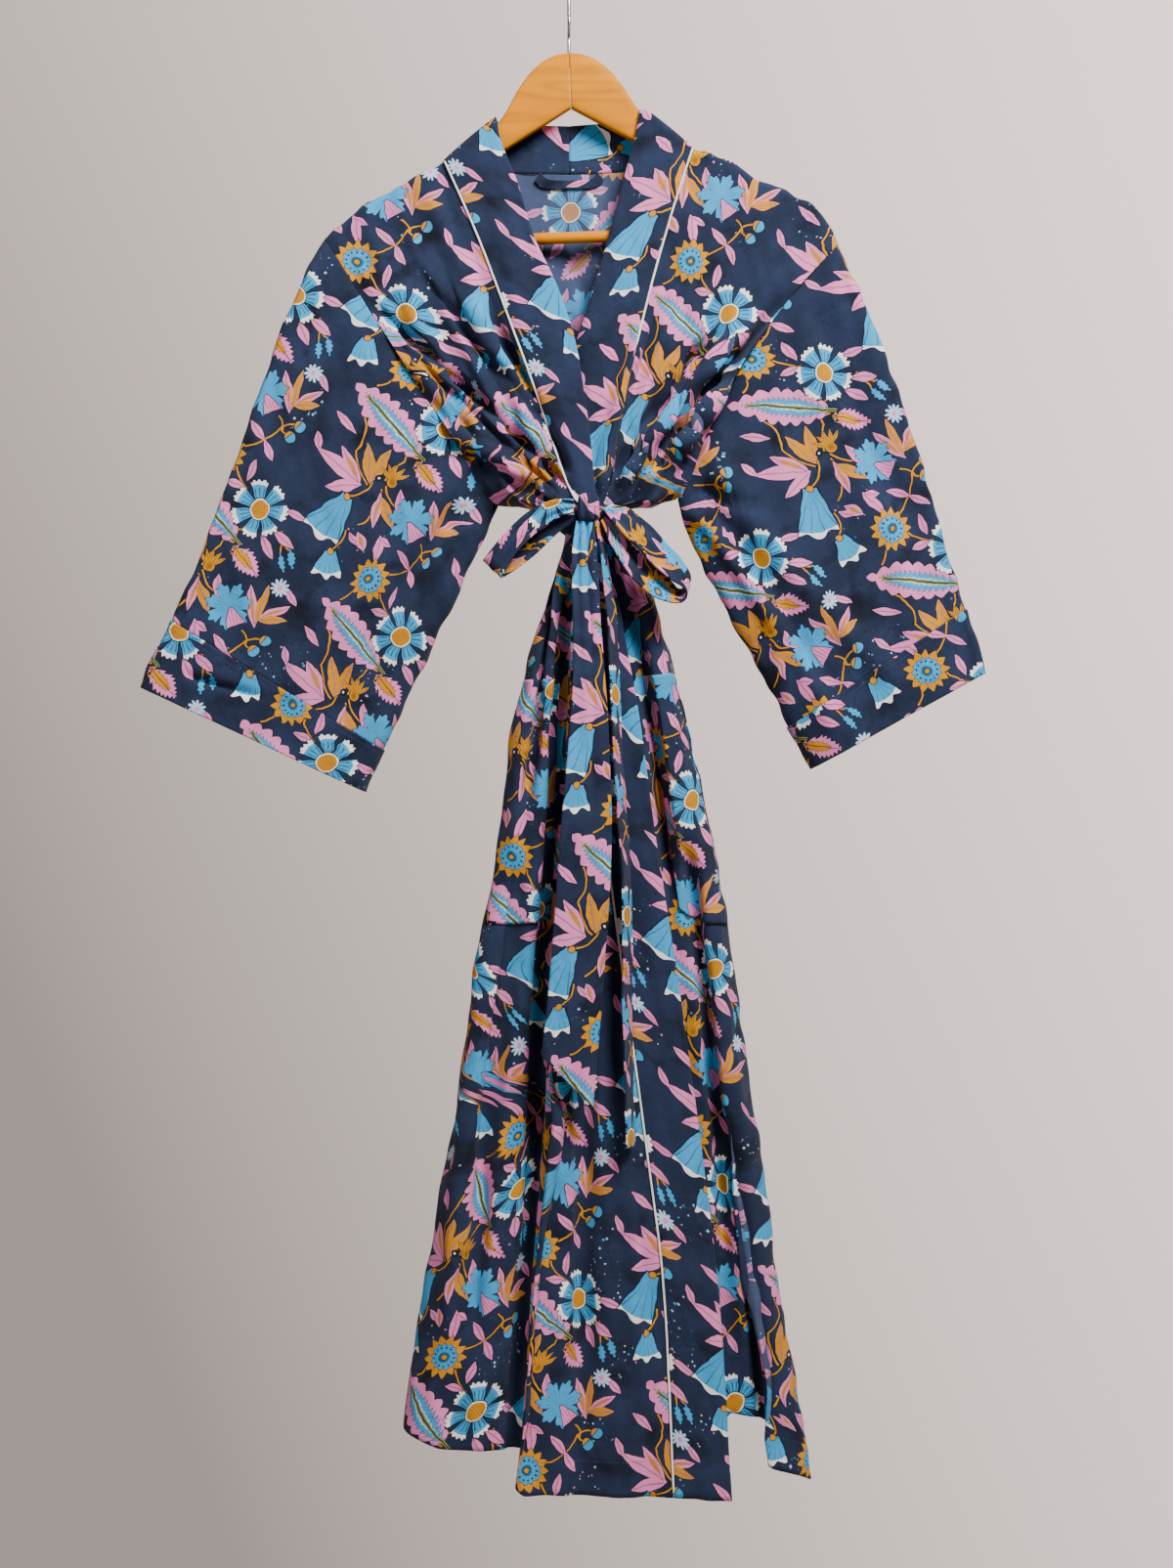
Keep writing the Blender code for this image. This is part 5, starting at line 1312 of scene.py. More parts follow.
def cloth_piece(name, points, flat, materials, wall, held="hung", rests_on=(), **form):
    """One piece of cloth: a sheet with a thin wall, printed side out; its cut is measured but not
    stated.
    """
    sheet = woven_grid(points, flat, **form)
    piece = new_piece(name, sheet, materials)
    thickness = piece.modifiers.new("Wall", "SOLIDIFY")
    thickness.thickness = wall
    thickness.offset = 0.0
    thickness.material_offset = len(materials) - 1
    wide = steps(points, 1)[:, -1].max() * MM
    long = steps(points, 0)[-1].max() * MM
    across = points[:, 1:] - points[:, :-1]
    down = points[1:, :] - points[:-1, :]
    area = np.linalg.norm(np.cross(across[:-1], down[:, :-1]), axis=-1).sum() * MM * MM
    area = min(max(area, LEAST_CUT * wide * long), wide * long)


def on_print(x, z, turn, shift):
    """Millimetres of flat cloth as metres on the print, turned by some degrees and shifted."""
    c, s = math.cos(math.radians(turn)), math.sin(math.radians(turn))
    return np.stack((shift[0] + x * c - z * s, shift[1] + x * s + z * c), axis=-1) * MM


def hung_flat(points, reference, down=(0.0, -1.0), turn=0.0, shift=(0.0, 0.0), outside=1.0):
    """Flat places of hung cloth, unrolled round the direction that it hangs in.

    They are measured from one of its columns, and the print is turned by some degrees."""
    below = points[..., 0] * down[0] + points[..., 2] * down[1]
    aside = -points[..., 0] * down[1] + points[..., 2] * down[0]
    run = np.diff(aside, axis=1)
    facing = np.sign(run[:, : run.shape[1] // 4].sum()) * outside
    lengths = np.cumsum(np.hypot(run, np.diff(points[..., 1], axis=1)), axis=1)
    lengths = np.concatenate((np.zeros_like(lengths[:, :1]), lengths), axis=1)
    x = aside[:, [reference]] * outside + facing * (lengths - lengths[:, [reference]])
    return on_print(x, -below, turn, shift)


def strip_flat(points, start, turn=0.0, towards=1.0):
    """Flat places of a strip or tube, its length running down the print, turned by some degrees."""
    return on_print(towards * steps(points, 1), -steps(points, 0), turn, start)


EDGE_ROUND = 0.85
FORWARD, BACKWARD = (0, -1, 0), (0, 1, 0)


def closer_at_ends(count):
    """Steps from 0 to 1, closest together at both ends."""
    t = np.arange(count + 1) / count
    return t - EDGE_ROUND * np.sin(2 * math.pi * t) / (2 * math.pi)


def deepened(creases, settings):
    return [crease._replace(height=crease.height * settings.crease_depth) for crease in creases]


def both_sides(settings):
    return [printed_cotton(settings), printed_cotton(settings, inside=True)]


def front_sheet(half, across, down, settings, lift=0.0):
    """A front's creased surface, or a pocket's, lifted off it."""
    return shaped(
        lambda u, v: front_point(half, u, v), across, down, deepened(half.creases, settings), lift,
        settings.rumple / MM, FORWARD,
    )


def make_front(half, settings):
    points = front_sheet(half, half.columns, BODY_ROWS, settings)
    cloth_piece(
        "front_" + half.side, points, hung_flat(points, -1), both_sides(settings), settings.wall,
        rests_on=HANGER_ARMS, towards=FORWARD,
    )


def back_sheet(across, down, settings, lift=0.0):
    return shaped(
        back_point, across, down, deepened(BACK_CREASES, settings), lift, settings.rumple / MM,
        BACKWARD,
    )


def make_back(settings):
    points = back_sheet(BACK_COLUMNS, BACK_ROWS, settings)
    flat = hung_flat(points, len(BACK_COLUMNS) // 2, outside=-1.0)
    cloth_piece(
        "back_panel", points, flat, both_sides(settings), settings.wall, rests_on=HANGER_ARMS,
        towards=BACKWARD,
    )


def sleeve_sheet(half, rows, settings, lift=0.0):
    part = closer_at_ends(56)
    return shaped(
        lambda around, w: sleeve_point(half, around, w),
        np.concatenate((part, 1 + part[1:])), rows, deepened(half.sleeve_creases, settings), lift,
        settings.rumple / MM,
    )


def make_sleeve(half, settings):
    """A sleeve tube and the turned-up cuff band round its end."""
    first, last = half.sleeve[0], half.sleeve[-1]
    length = abs(last.outer_z - first.outer_z)
    run = (last.outer_x + last.inner_x - first.outer_x - first.inner_x,
           last.outer_z + last.inner_z - first.outer_z - first.inner_z)
    down = (run[0] / math.hypot(*run), run[1] / math.hypot(*run))
    sleeve_rows = np.linspace(SLEEVE_SEAM_GAP / length, SLEEVE_BAND_FROM, 120)
    band_rows = np.linspace(SLEEVE_BAND_FROM - CUFF_TUCK / length, 1.0, 34)
    for name, rows, lift, shift, wall in (
        ("sleeve_", sleeve_rows, 0.0, SLEEVE_SHIFT, settings.wall),
        ("cuff_band_", band_rows, settings.cuff_lift / MM, CUFF_SHIFT, settings.double_wall),
    ):
        points = sleeve_sheet(half, rows, settings, lift)
        flat = hung_flat(points, 0, down, SLEEVE_TURN, shift)
        cloth_piece(name + half.side, points, flat, both_sides(settings), wall, closed=True)


def neckband_rows():
    """Rows from the centre back at -1 over the crest at 0 to the hem at 1, closer at the crest."""
    behind = -((1 - np.arange(60) / 60) ** 1.5)
    below = (np.arange(421) / 420) ** 1.45
    return np.concatenate((behind, below))


def make_neckband(half, settings):
    s, row = np.meshgrid(np.linspace(0, 1, 15), neckband_rows())
    points = band_point(half, s, row)
    normal = unit(np.cross(np.gradient(points, axis=1), np.gradient(points, axis=0)))
    if normal[row[:, 0] > 0.05, :, 1].sum() > 0:
        normal = -normal
    swell = settings.band_swell / MM * np.sin(math.pi * s) ** 0.7
    creases = crease_height(deepened(half.creases, settings), points)
    height = ease(row / 0.08) * (creases + rumple(points, settings.rumple / MM)) + swell
    points = points + normal * height[..., None]
    cloth_piece(
        "neckband_" + half.side, points, strip_flat(points, half.band_start, 0.0, half.inward),
        [printed_cotton(settings)], settings.double_wall, rests_on=HANGER_ARMS,
        towards=normal[:-1, :-1],
    )


def cord_sheet(path, radius, sides=10):
    """A round cord through an array of points, closed at both ends."""
    ahead = unit(np.gradient(path, axis=0))
    side = np.tile(np.array((1.0, 0.0, 0.0)), (len(path), 1))
    side[0] = unit(np.cross(ahead[0], (0.3, 1.0, 0.2)))
    for i in range(1, len(side)):
        side[i] = unit(side[i - 1] - ahead[i] * (side[i - 1] @ ahead[i]))
    over = np.cross(ahead, side)
    path, side, over = (np.concatenate((a[:1], a, a[-1:])) for a in (path, side, over))
    thick = np.full(len(path), float(radius))
    thick[0] = thick[-1] = 0.001
    angles = np.linspace(0, 2 * math.pi, sides + 1)
    ring = np.cos(angles)[None, :, None] * side[:, None]
    ring = ring + np.sin(angles)[None, :, None] * over[:, None]
    return path[:, None] + ring * thick[:, None, None]


def make_piping(half, cloth, settings):
    """The white piping, laid on the neckband's seam from behind the neck to the hem."""
    rise = cloth.double_wall / MM / 2 + settings.piping_radius / MM * 0.9
    v = (np.arange(401) / 400) ** 1.3 * (PIPING_END - 0.004) + 0.004
    seam = band_seam(half, v)
    toward = band_front_point(half, np.full_like(v, 0.2), v) - seam
    normal = unit(np.cross(toward, np.gradient(seam, axis=0)))
    normal = np.where(normal[:, 1:2] > 0, -normal, normal)
    height = crease_height(deepened(half.creases, cloth), seam) + rumple(seam, cloth.rumple / MM)
    over = np.full_like(v, rise)
    if half is RIGHT:
        over = rise - PIPING_SINKS * ease((v - 0.185) / 0.012) * ease((0.345 - v) / 0.01)
    front = seam + normal * (over + ease(v / 0.08) * height)[:, None]
    b = np.linspace(1, 0.05, 40)
    behind = band_neck_point(half, np.zeros_like(b), b)
    behind = behind + np.array((0, rise, 0))
    crest = (behind[-1] + front[0]) / 2 + np.array((0, 0, rise))
    path = np.concatenate((behind, crest[None], front))
    cord = cord_sheet(path, settings.piping_radius / MM)
    shape = woven_grid(cord, closed=True)
    new_piece("piping_" + half.side, shape, [piping_cotton(settings)])


def place_at_height(half, z):
    """Where down a front it is this high, as v."""
    trial = np.linspace(V_WAIST_OUT, 1, 400)
    heights = front_point(half, np.full_like(trial, 0.1), trial)[:, 2]
    return float(np.interp(-z, -heights, trial))


def make_pocket(half, settings):
    """A patch pocket on its front, a little puffed at its mouth."""
    patch = half.patch
    first, last = place_at_height(half, patch.z_top), place_at_height(half, patch.z_bottom)
    columns, rows = np.linspace(patch.u_from, patch.u_to, 44), np.linspace(first, last, 84)
    lift = (settings.wall + settings.wall / 2) / MM + LAID_GAP
    points = front_sheet(half, columns, rows, settings, lift)
    puff = np.sin(math.pi * np.linspace(0, 1, 44))[None, :] ** 0.5
    mouth = (1 - np.linspace(0, 1, 84))[:, None] ** 4
    points[..., 1] -= POCKET_PUFF * puff * (0.25 + mouth)
    cloth_piece(
        "pocket_" + half.side, points, hung_flat(points, -1, shift=POCKET_SHIFT),
        [printed_cotton(settings)], settings.wall, held="laid", rests_on=["front_" + half.side],
        towards=FORWARD,
    )


def spline_point(table, t):
    """Middle and half width along a table of ribbon rows, as a smooth curve."""
    values = np.array([row[:6] for row in table], float)
    at = np.asarray(t) * (len(table) - 1)
    i = np.minimum(at.astype(int), len(table) - 2)
    share = (at - i)[..., None]
    before, start = values[np.maximum(i - 1, 0)], values[i]
    end, after = values[i + 1], values[np.minimum(i + 2, len(table) - 1)]
    made = 0.5 * (
        2 * start
        + (end - before) * share
        + (2 * before - 5 * start + 4 * end - after) * share ** 2
        + (3 * start - before - 3 * end + after) * share ** 3
    )
    return made[..., :3], made[..., 3:]


# A pleat along a ribbon: its place across, its width, and its height near the knot and further on
Pleat = namedtuple("Pleat", "s width near far")


def make_ribbon(name, table, rows, pleats, settings, start, rests_on):
    """A strip of belt along its table, gathered into pleats."""
    s, t = np.meshgrid(np.linspace(0, 1, 25), np.linspace(0, 1, rows))
    middle, wide = spline_point(table, t)
    points = middle + wide * (2 * s - 1)[..., None]
    normal = unit(np.cross(np.gradient(points, axis=1), np.gradient(points, axis=0)))
    height = 0.0
    for pleat in pleats:
        size = pleat.near + (pleat.far - pleat.near) * ease(t / 0.5)
        height = height + size * bump(s, pleat.s, pleat.width)
    height = height + rumple(points, settings.rumple / MM * 0.6)
    points = points + normal * np.asarray(height)[..., None]
    cloth_piece(
        name, points, strip_flat(points, start), [printed_cotton(settings)], settings.double_wall,
        rests_on=[rests_on], towards=normal[:-1, :-1],
    )


def make_waist(settings):
    """The belt round the waist, pressed into soft lengthwise creases by the knot."""
    top, bottom = BELT_WAIST_Z
    angle, t = np.meshgrid(np.linspace(0, 2 * math.pi, 121), np.linspace(0, 1, 25))
    bulge = 1 + 0.02 * np.sin(3 * angle) + 0.035 * np.sin(math.pi * t) ** 0.6
    ripples = 0.7 * np.sin(2 * math.pi * (3.2 * t + 0.22 * np.sin(angle * 2))) * np.sin(math.pi * t)
    x = WAIST_CENTRE[0] + (WAIST_HALF[0] * bulge + ripples) * np.cos(angle)
    y = WAIST_CENTRE[1] + (WAIST_HALF[1] * bulge + ripples) * np.sin(angle)
    height = 1 - WAIST_PINCH * np.clip(-np.cos(angle), 0, 1) ** 2
    z = top + (bottom - top) * t * height + 1.2 * np.sin(angle * 3 + 1)
    points = joined(x, y, z)
    cloth_piece(
        "belt_waist", points, strip_flat(points, WAIST_PRINT_START, 90.0), [printed_cotton(settings)],
        settings.double_wall, held="gathered", rests_on=["front_left", "back_panel"], closed=True,
    )


def make_knot(settings):
    """The knot: a pad of folded belt under one tight vertical turn of it."""
    across, down = 73, 61
    turn, rise = np.meshgrid(np.linspace(-math.pi, math.pi, across), np.linspace(0, math.pi, down))
    ring = np.sin(rise)
    x = np.sign(np.sin(turn)) * np.abs(np.sin(turn)) ** 0.75 * ring ** 0.75
    y = -np.sign(np.cos(turn)) * np.abs(np.cos(turn)) ** 0.75 * ring ** 0.75
    z = np.cos(rise)
    creased = 1 + 0.13 * np.cos(x * 8.0 + z * 1.1) + 0.05 * np.cos(x * 17.0 - z * 2.1)
    points = joined(
        KNOT_CENTRE[0] + KNOT_HALF[0] * x * (1 - 0.12 * np.cos(z * 2.4)),
        KNOT_CENTRE[1] + KNOT_HALF[1] * y * creased,
        KNOT_CENTRE[2] + KNOT_HALF[2] * np.sign(z) * np.abs(z) ** 0.8,
    )
    flat = np.stack((points[..., 0], points[..., 2] - 6 * np.abs(x)), axis=-1) * MM
    shape = woven_grid(points, flat + np.array(KNOT_PRINT_SHIFT), closed=True)
    new_piece("belt_knot", shape, [printed_cotton(settings)])


def make_hanging_loop(settings):
    table = []
    for row in HANGING_LOOP:
        depth = back_point(np.array(0.5 + row.x / 520.0), np.array(0.01))[1] - HANGING_LOOP_GAP
        table.append(row._replace(y=float(depth)))
    make_ribbon("hanging_loop", table, 60, (), settings, (40.0, -95.0), "back_panel")


def wood_half(side, sign, settings):
    """One half of the hanger's wood, its edges well rounded and its tip closed."""
    tip = (WOOD_LENGTH - WOOD_BODY) * np.sin(np.linspace(0, 1, 30) * math.pi / 2)
    out = np.concatenate((np.linspace(WOOD[0].out, WOOD_BODY, 110), WOOD_BODY + tip))
    top = read(WOOD, "top", out, "out")
    bottom = read(WOOD, "bottom", out, "out")
    angles = np.linspace(0, 2 * math.pi, 65)
    c, s = np.cos(angles), np.sin(angles)
    square = 2 / settings.wood_squareness
    closing = np.sqrt(np.clip((WOOD_LENGTH - out) / WOOD_TIP_ROUND, 0, 1))
    closing = np.where(out > WOOD_LENGTH - WOOD_TIP_ROUND, np.sin(closing * math.pi / 2), 1.0)
    half_high = (bottom - top) / 2 * closing
    half_thick = HANGER_THICK / 2 * (1 - 0.25 * (out / WOOD_LENGTH) ** 3) * np.maximum(closing, 0.02)
    y = (np.sign(c) * np.abs(c) ** square)[None] * half_thick[:, None]
    low = (np.sign(s) * np.abs(s) ** square)[None] * half_high[:, None]
    drop = ((top + bottom) / 2)[:, None] - low
    tilt_c, tilt_s = math.cos(HANGER_TILT), math.sin(HANGER_TILT)
    x = sign * out[:, None] * np.ones_like(drop)
    points = joined(x * tilt_c + drop * tilt_s, y, x * tilt_s - drop * tilt_c + HANGER_WOOD_TOP_Z)
    points = np.concatenate((points[:1].mean(axis=1, keepdims=True) * np.ones((1, 65, 1)), points,
                             points[-1:].mean(axis=1, keepdims=True) * np.ones((1, 65, 1))))
    shape = woven_grid(points, closed=True)
    new_piece("hanger_arm_" + side, shape, [honey_wood(settings)])


def make_bar(settings):
    tilt = Matrix.Rotation(-HANGER_TILT, 4, "Y")
    ends = [tilt @ Vector((s * BAR_HALF_LENGTH, 0, -BAR_DROP)) for s in (-1, 1)]
    ends = [end + Vector((0, 0, HANGER_WOOD_TOP_Z)) for end in ends]
    bar = bmesh.new()
    radius = settings.bar_radius
    bmesh.ops.create_cone(
        bar, cap_ends=True, segments=48, radius1=radius, radius2=radius,
        depth=(ends[1] - ends[0]).length * MM,
    )
    turn = (ends[1] - ends[0]).to_track_quat("Z", "Y").to_matrix().to_4x4()
    place = Matrix.Translation((ends[0] + ends[1]) / 2 * MM) @ turn
    bmesh.ops.transform(bar, matrix=place, verts=bar.verts)
    new_piece("hanger_bar", bar, [honey_wood(settings)])


def make_hook(settings):
    """The bent wire hook, its shank let into the wood."""
    centre = HOOK_INNER_RADIUS + WIRE_RADIUS
    turn = np.linspace(math.pi, -0.16 * math.pi, 60)
    bend = joined(0.0, centre * np.cos(turn), -HOOK_INNER_RADIUS + centre * np.sin(turn))
    neck = np.array(((0, 5.5, -39.5), (0, 1.2, -45.0), (0, 0, -50.0), (0, 0, -58.0), (0, 0, -73.0)))
    tip = np.linspace((0, -centre, HOOK_TIP_Z), (0, -centre, -HOOK_INNER_RADIUS), 10)[:-1]
    rough = np.concatenate((tip, bend, neck))
    along = steps(rough, 0)
    even = np.linspace(0, along[-1], 220)
    path = np.stack([np.interp(even, along, rough[:, i]) for i in range(3)], axis=-1)
    for _ in range(12):
        path[1:-1] = (path[:-2] + 2 * path[1:-1] + path[2:]) / 4
    shape = woven_grid(cord_sheet(path, WIRE_RADIUS, 24), closed=True)
    new_piece("hanger_hook", shape, [hook_wire()])


LOOP_PLEATS = (Pleat(0.3, 0.12, 1.6, 0.3), Pleat(0.55, 0.10, -1.4, -0.4), Pleat(0.8, 0.10, 1.3, 0.4))
TAIL_PLEATS = (
    Pleat(0.22, 0.10, 2.2, 0.6), Pleat(0.42, 0.09, -2.0, -0.5), Pleat(0.62, 0.09, 2.4, 0.9),
    Pleat(0.82, 0.09, -1.6, -0.3),
)


def make_bow(settings):
    """The bow's two loops and the belt's two free ends."""
    for name, table, rows, pleats, start in (
        ("bow_loop_left", BOW_LEFT, 150, LOOP_PLEATS, (0.0, 20.0)),
        ("bow_loop_right", BOW_RIGHT, 170, LOOP_PLEATS, (110.0, 90.0)),
        ("belt_tail_front", TAIL_FRONT, 220, TAIL_PLEATS, (60.0, 10.0)),
        ("belt_tail_side", TAIL_SIDE, 200, (), (150.0, 60.0)),
    ):
        make_ribbon(name, table, rows, pleats, settings, start, "belt_knot")


# The studio: sizes and places in metres
FLOOR_RADIUS = 0.7
ROBE_MIDDLE = (0.02, 0, -0.75)
KEY_SIZE, KEY_PLACE = (0.9, 0.9), (0.9, -1.55, 1.15)
FILL_SIZE, FILL_PLACE = (1.4, 2.0), (-1.8, -1.7, -0.3)


def area_light(name, power, size, place):
    """A soft rectangular light that faces the middle of the robe."""
    data = bpy.data.lights.new(name, "AREA")
    data.energy = power
    data.shape = "RECTANGLE"
    data.size, data.size_y = size
    light = bpy.data.objects.new(name, data)
    light.location = place
    light.rotation_euler = (Vector(ROBE_MIDDLE) - Vector(place)).to_track_quat("-Z", "Y").to_euler()
    bpy.context.scene.collection.objects.link(light)


def make_studio(settings):
    """A plain pale ground, two soft lights and the camera at the portrait's angle."""
    floor = bmesh.new()
    bmesh.ops.create_circle(floor, cap_ends=True, segments=96, radius=FLOOR_RADIUS)
    bmesh.ops.translate(floor, verts=floor.verts, vec=(0, 0, settings.floor_height))
    mesh = bpy.data.meshes.new("studio_floor")
    floor.to_mesh(mesh)
    floor.free()
    made, tree, shader = fresh_material("Pale floor", 0.9)
    shade = blended(tree, Reading(tree, noise(tree, own_place(tree), 3.0)),
                    toned(settings.backdrop, 0.6), toned(settings.backdrop, 0.7))
    tree.links.new(shade, shader.inputs["Base Color"])
    mesh.materials.append(made)
    ground = bpy.data.objects.new("studio_floor", mesh)
    bpy.context.scene.collection.objects.link(ground)

    world = bpy.data.worlds.new("Studio")
    world.use_nodes = True
    bpy.context.scene.world = world
    tree = world.node_tree
    backdrop = tree.nodes["Background"]
    backdrop.inputs["Color"].default_value = tuple(settings.backdrop)
    towards = tree.nodes.new("ShaderNodeTexCoord").outputs["Generated"]
    to_right = across(tree, towards, (1.6, 0, 0.7)).worked("ADD", 0.45, clamp=True)
    wall = across(tree, towards, (0, 2.5, 0)).worked("ADD", -0.9, clamp=True)
    glow = to_right.times_plus(settings.wall_glow, settings.wall_shade)
    bright = (glow - settings.room_light) * wall + settings.room_light
    plug(tree, bright, backdrop.inputs["Strength"])

    area_light("Key light", settings.key_power, KEY_SIZE, KEY_PLACE)
    area_light("Fill light", settings.fill_power, FILL_SIZE, FILL_PLACE)

    camera = bpy.data.cameras.new("Camera")
    camera.sensor_width = 36.0
    camera.lens = settings.lens * 1000
    eye = bpy.data.objects.new("Camera", camera)
    eye.location = (settings.centre_x, -settings.distance, settings.centre_z)
    eye.rotation_euler = (math.pi / 2, 0, 0)
    bpy.context.scene.collection.objects.link(eye)
    bpy.context.scene.camera = eye


# Each seam's stitches follow the middle one of three close rows of its cloth
THREE_ROWS = np.array((-0.002, 0.0, 0.002))
HEM_STITCH_ROWS = 0.98 + THREE_ROWS
CUFF_STITCH_ROWS = SLEEVE_BAND_FROM + 0.012 + THREE_ROWS
POCKET_STITCH_INSET = 0.005


def add_stitches(shape, line, length, pitch, radius):
    """Lays a row of small rounded stitches along a line of points, a little proud of it."""
    along = steps(line, 0)
    count = max(int(along[-1] / pitch), 1)
    for i in range(count):
        ends = [
            Vector([float(np.interp(at, along, line[:, axis])) for axis in range(3)])
            for at in ((i + 0.2) * pitch, (i + 0.2) * pitch + length)
        ]
        run = ends[1] - ends[0]
        if run.length < length * 0.3:
            continue
        turn = run.to_track_quat("X", "Y").to_matrix().to_4x4()
        size = Matrix.Diagonal((run.length / 2 * MM, radius * MM, radius * MM, 1))
        place = Matrix.Translation((ends[0] + ends[1]) / 2 * MM) @ turn @ size
        bmesh.ops.create_icosphere(shape, subdivisions=1, radius=1.0, matrix=place)


def make_stitches(settings):
    """The rows of stitching at hems, pocket mouths and cuffs."""
    cloth = bpy.context.scene.robe_cloth
    shape = bmesh.new()
    lift = cloth.wall / 2 / MM
    rise = cloth.wall * 2 / MM + LAID_GAP + POCKET_PUFF * 0.6
    lines = [
        front_sheet(half, np.linspace(0.02, 0.985, 160), HEM_STITCH_ROWS, cloth, lift)
        for half in HALVES
    ]
    for half in HALVES:
        patch = half.patch
        at = place_at_height(half, patch.z_top - POCKET_HEM)
        inset = POCKET_STITCH_INSET
        columns = np.linspace(patch.u_from + inset, patch.u_to - inset, 80)
        lines.append(front_sheet(half, columns, at + 0.5 * THREE_ROWS, cloth, rise))
    lines.append(back_sheet(np.linspace(0.02, 0.98, 200), HEM_STITCH_ROWS, cloth, lift))
    rise = cloth.double_wall / 2 / MM + cloth.cuff_lift / MM
    for half in HALVES:
        lines.append(sleeve_sheet(half, CUFF_STITCH_ROWS, cloth, rise))
    for line in lines:
        add_stitches(shape, line[1], settings.stitch_length / MM, settings.stitch_pitch / MM,
                     settings.stitch_thickness / MM)
    new_piece("stitching", shape, [stitch_thread()], replaces=False)


class RobeClothSettings(bpy.types.PropertyGroup):
    """Sizes and inks of the cloth."""

    wall: FloatProperty(
        name="Cloth thickness", description="Thickness of a single layer of cotton",
        default=0.0010, min=0.0003, max=0.003, subtype="DISTANCE", unit="LENGTH",
    )
    double_wall: FloatProperty(
        name="Doubled thickness", description="Thickness of folded bands and of the belt",
        default=0.0018, min=0.0006, max=0.004, subtype="DISTANCE", unit="LENGTH",
    )
    crease_depth: FloatProperty(
        name="Crease depth", description="How deep the creases are, 1 as charted",
        default=1.22, min=0.0, max=1.5, subtype="FACTOR",
    )
    rumple: FloatProperty(
        name="Rumple", description="Height of the slow unevenness of worn cotton",
        default=0.0009, min=0.0, max=0.002, subtype="DISTANCE", unit="LENGTH",
    )
    band_swell: FloatProperty(
        name="Neckband swell", description="How far the folded neckband rounds out",
        default=0.0012, min=0.0, max=0.003, subtype="DISTANCE", unit="LENGTH",
    )
    cuff_lift: FloatProperty(
        name="Cuff lift", description="How far a turned-up cuff stands off its sleeve",
        default=0.0014, min=0.0, max=0.003, subtype="DISTANCE", unit="LENGTH",
    )
    inside_fade: FloatProperty(
        name="Wrong side", description="How pale the print is on the inside",
        default=0.35, min=0.0, max=1.0, subtype="FACTOR",
    )
    navy: FloatVectorProperty(
        name="Navy", description="Ground colour of the cloth",
        default=ink(25, 34, 56), size=4, min=0, max=1, subtype="COLOR",
    )
    sky: FloatVectorProperty(
        name="Sky blue", description="Main ink of the flowers",
        default=ink(54, 150, 200), size=4, min=0, max=1, subtype="COLOR",
    )
    pink: FloatVectorProperty(
        name="Pink", description="Ink of the leaves",
        default=ink(220, 128, 176), size=4, min=0, max=1, subtype="COLOR",
    )
    ochre: FloatVectorProperty(
        name="Ochre", description="Ink of the stems and seed heads",
        default=ink(200, 134, 18), size=4, min=0, max=1, subtype="COLOR",
    )


class RobeTrimSettings(bpy.types.PropertyGroup):
    """Sizes and colours of the piping and the sewing thread."""

    piping_radius: FloatProperty(
        name="Piping radius", description="Half the width of the white piping",
        default=PIPING_RADIUS * MM, min=0.0005, max=0.003, subtype="DISTANCE", unit="LENGTH",
    )
    piping_colour: FloatVectorProperty(
        name="Piping", description="Colour of the piping",
        default=ink(244, 242, 236), size=4, min=0, max=1, subtype="COLOR",
    )
    piping_shade: FloatVectorProperty(
        name="Piping in the weave", description="Colour between the piping's threads",
        default=ink(214, 210, 200), size=4, min=0, max=1, subtype="COLOR",
    )
    stitch_length: FloatProperty(
        name="Stitch length", description="Length of one stitch that shows",
        default=0.0022, min=0.001, max=0.006, subtype="DISTANCE", unit="LENGTH",
    )
    stitch_pitch: FloatProperty(
        name="Stitch pitch", description="Distance from one stitch to the next",
        default=0.0031, min=0.0015, max=0.01, subtype="DISTANCE", unit="LENGTH",
    )
    stitch_thickness: FloatProperty(
        name="Thread", description="Half the thickness of the thread",
        default=0.00028, min=0.0001, max=0.001, subtype="DISTANCE", unit="LENGTH",
    )


class RobeHangerSettings(bpy.types.PropertyGroup):
    """Sizes and colours of the hanger."""

    bar_radius: FloatProperty(
        name="Bar radius", description="Half the thickness of the trouser bar",
        default=BAR_RADIUS * MM, min=0.003, max=0.01, subtype="DISTANCE", unit="LENGTH",
    )
    wood_squareness: FloatProperty(
        name="Squareness", description="How square the section of the arms is, 2 is round",
        default=4.2, min=2.0, max=10.0,
    )
    wood_light: FloatVectorProperty(
        name="Light wood", description="Colour of the pale grain",
        default=ink(214, 136, 0), size=4, min=0, max=1, subtype="COLOR",
    )
    wood_dark: FloatVectorProperty(
        name="Dark wood", description="Colour of the darker grain",
        default=ink(188, 110, 0), size=4, min=0, max=1, subtype="COLOR",
    )
    wood_line: FloatVectorProperty(
        name="Growth lines", description="Colour of the growth lines",
        default=ink(148, 78, 0), size=4, min=0, max=1, subtype="COLOR",
    )


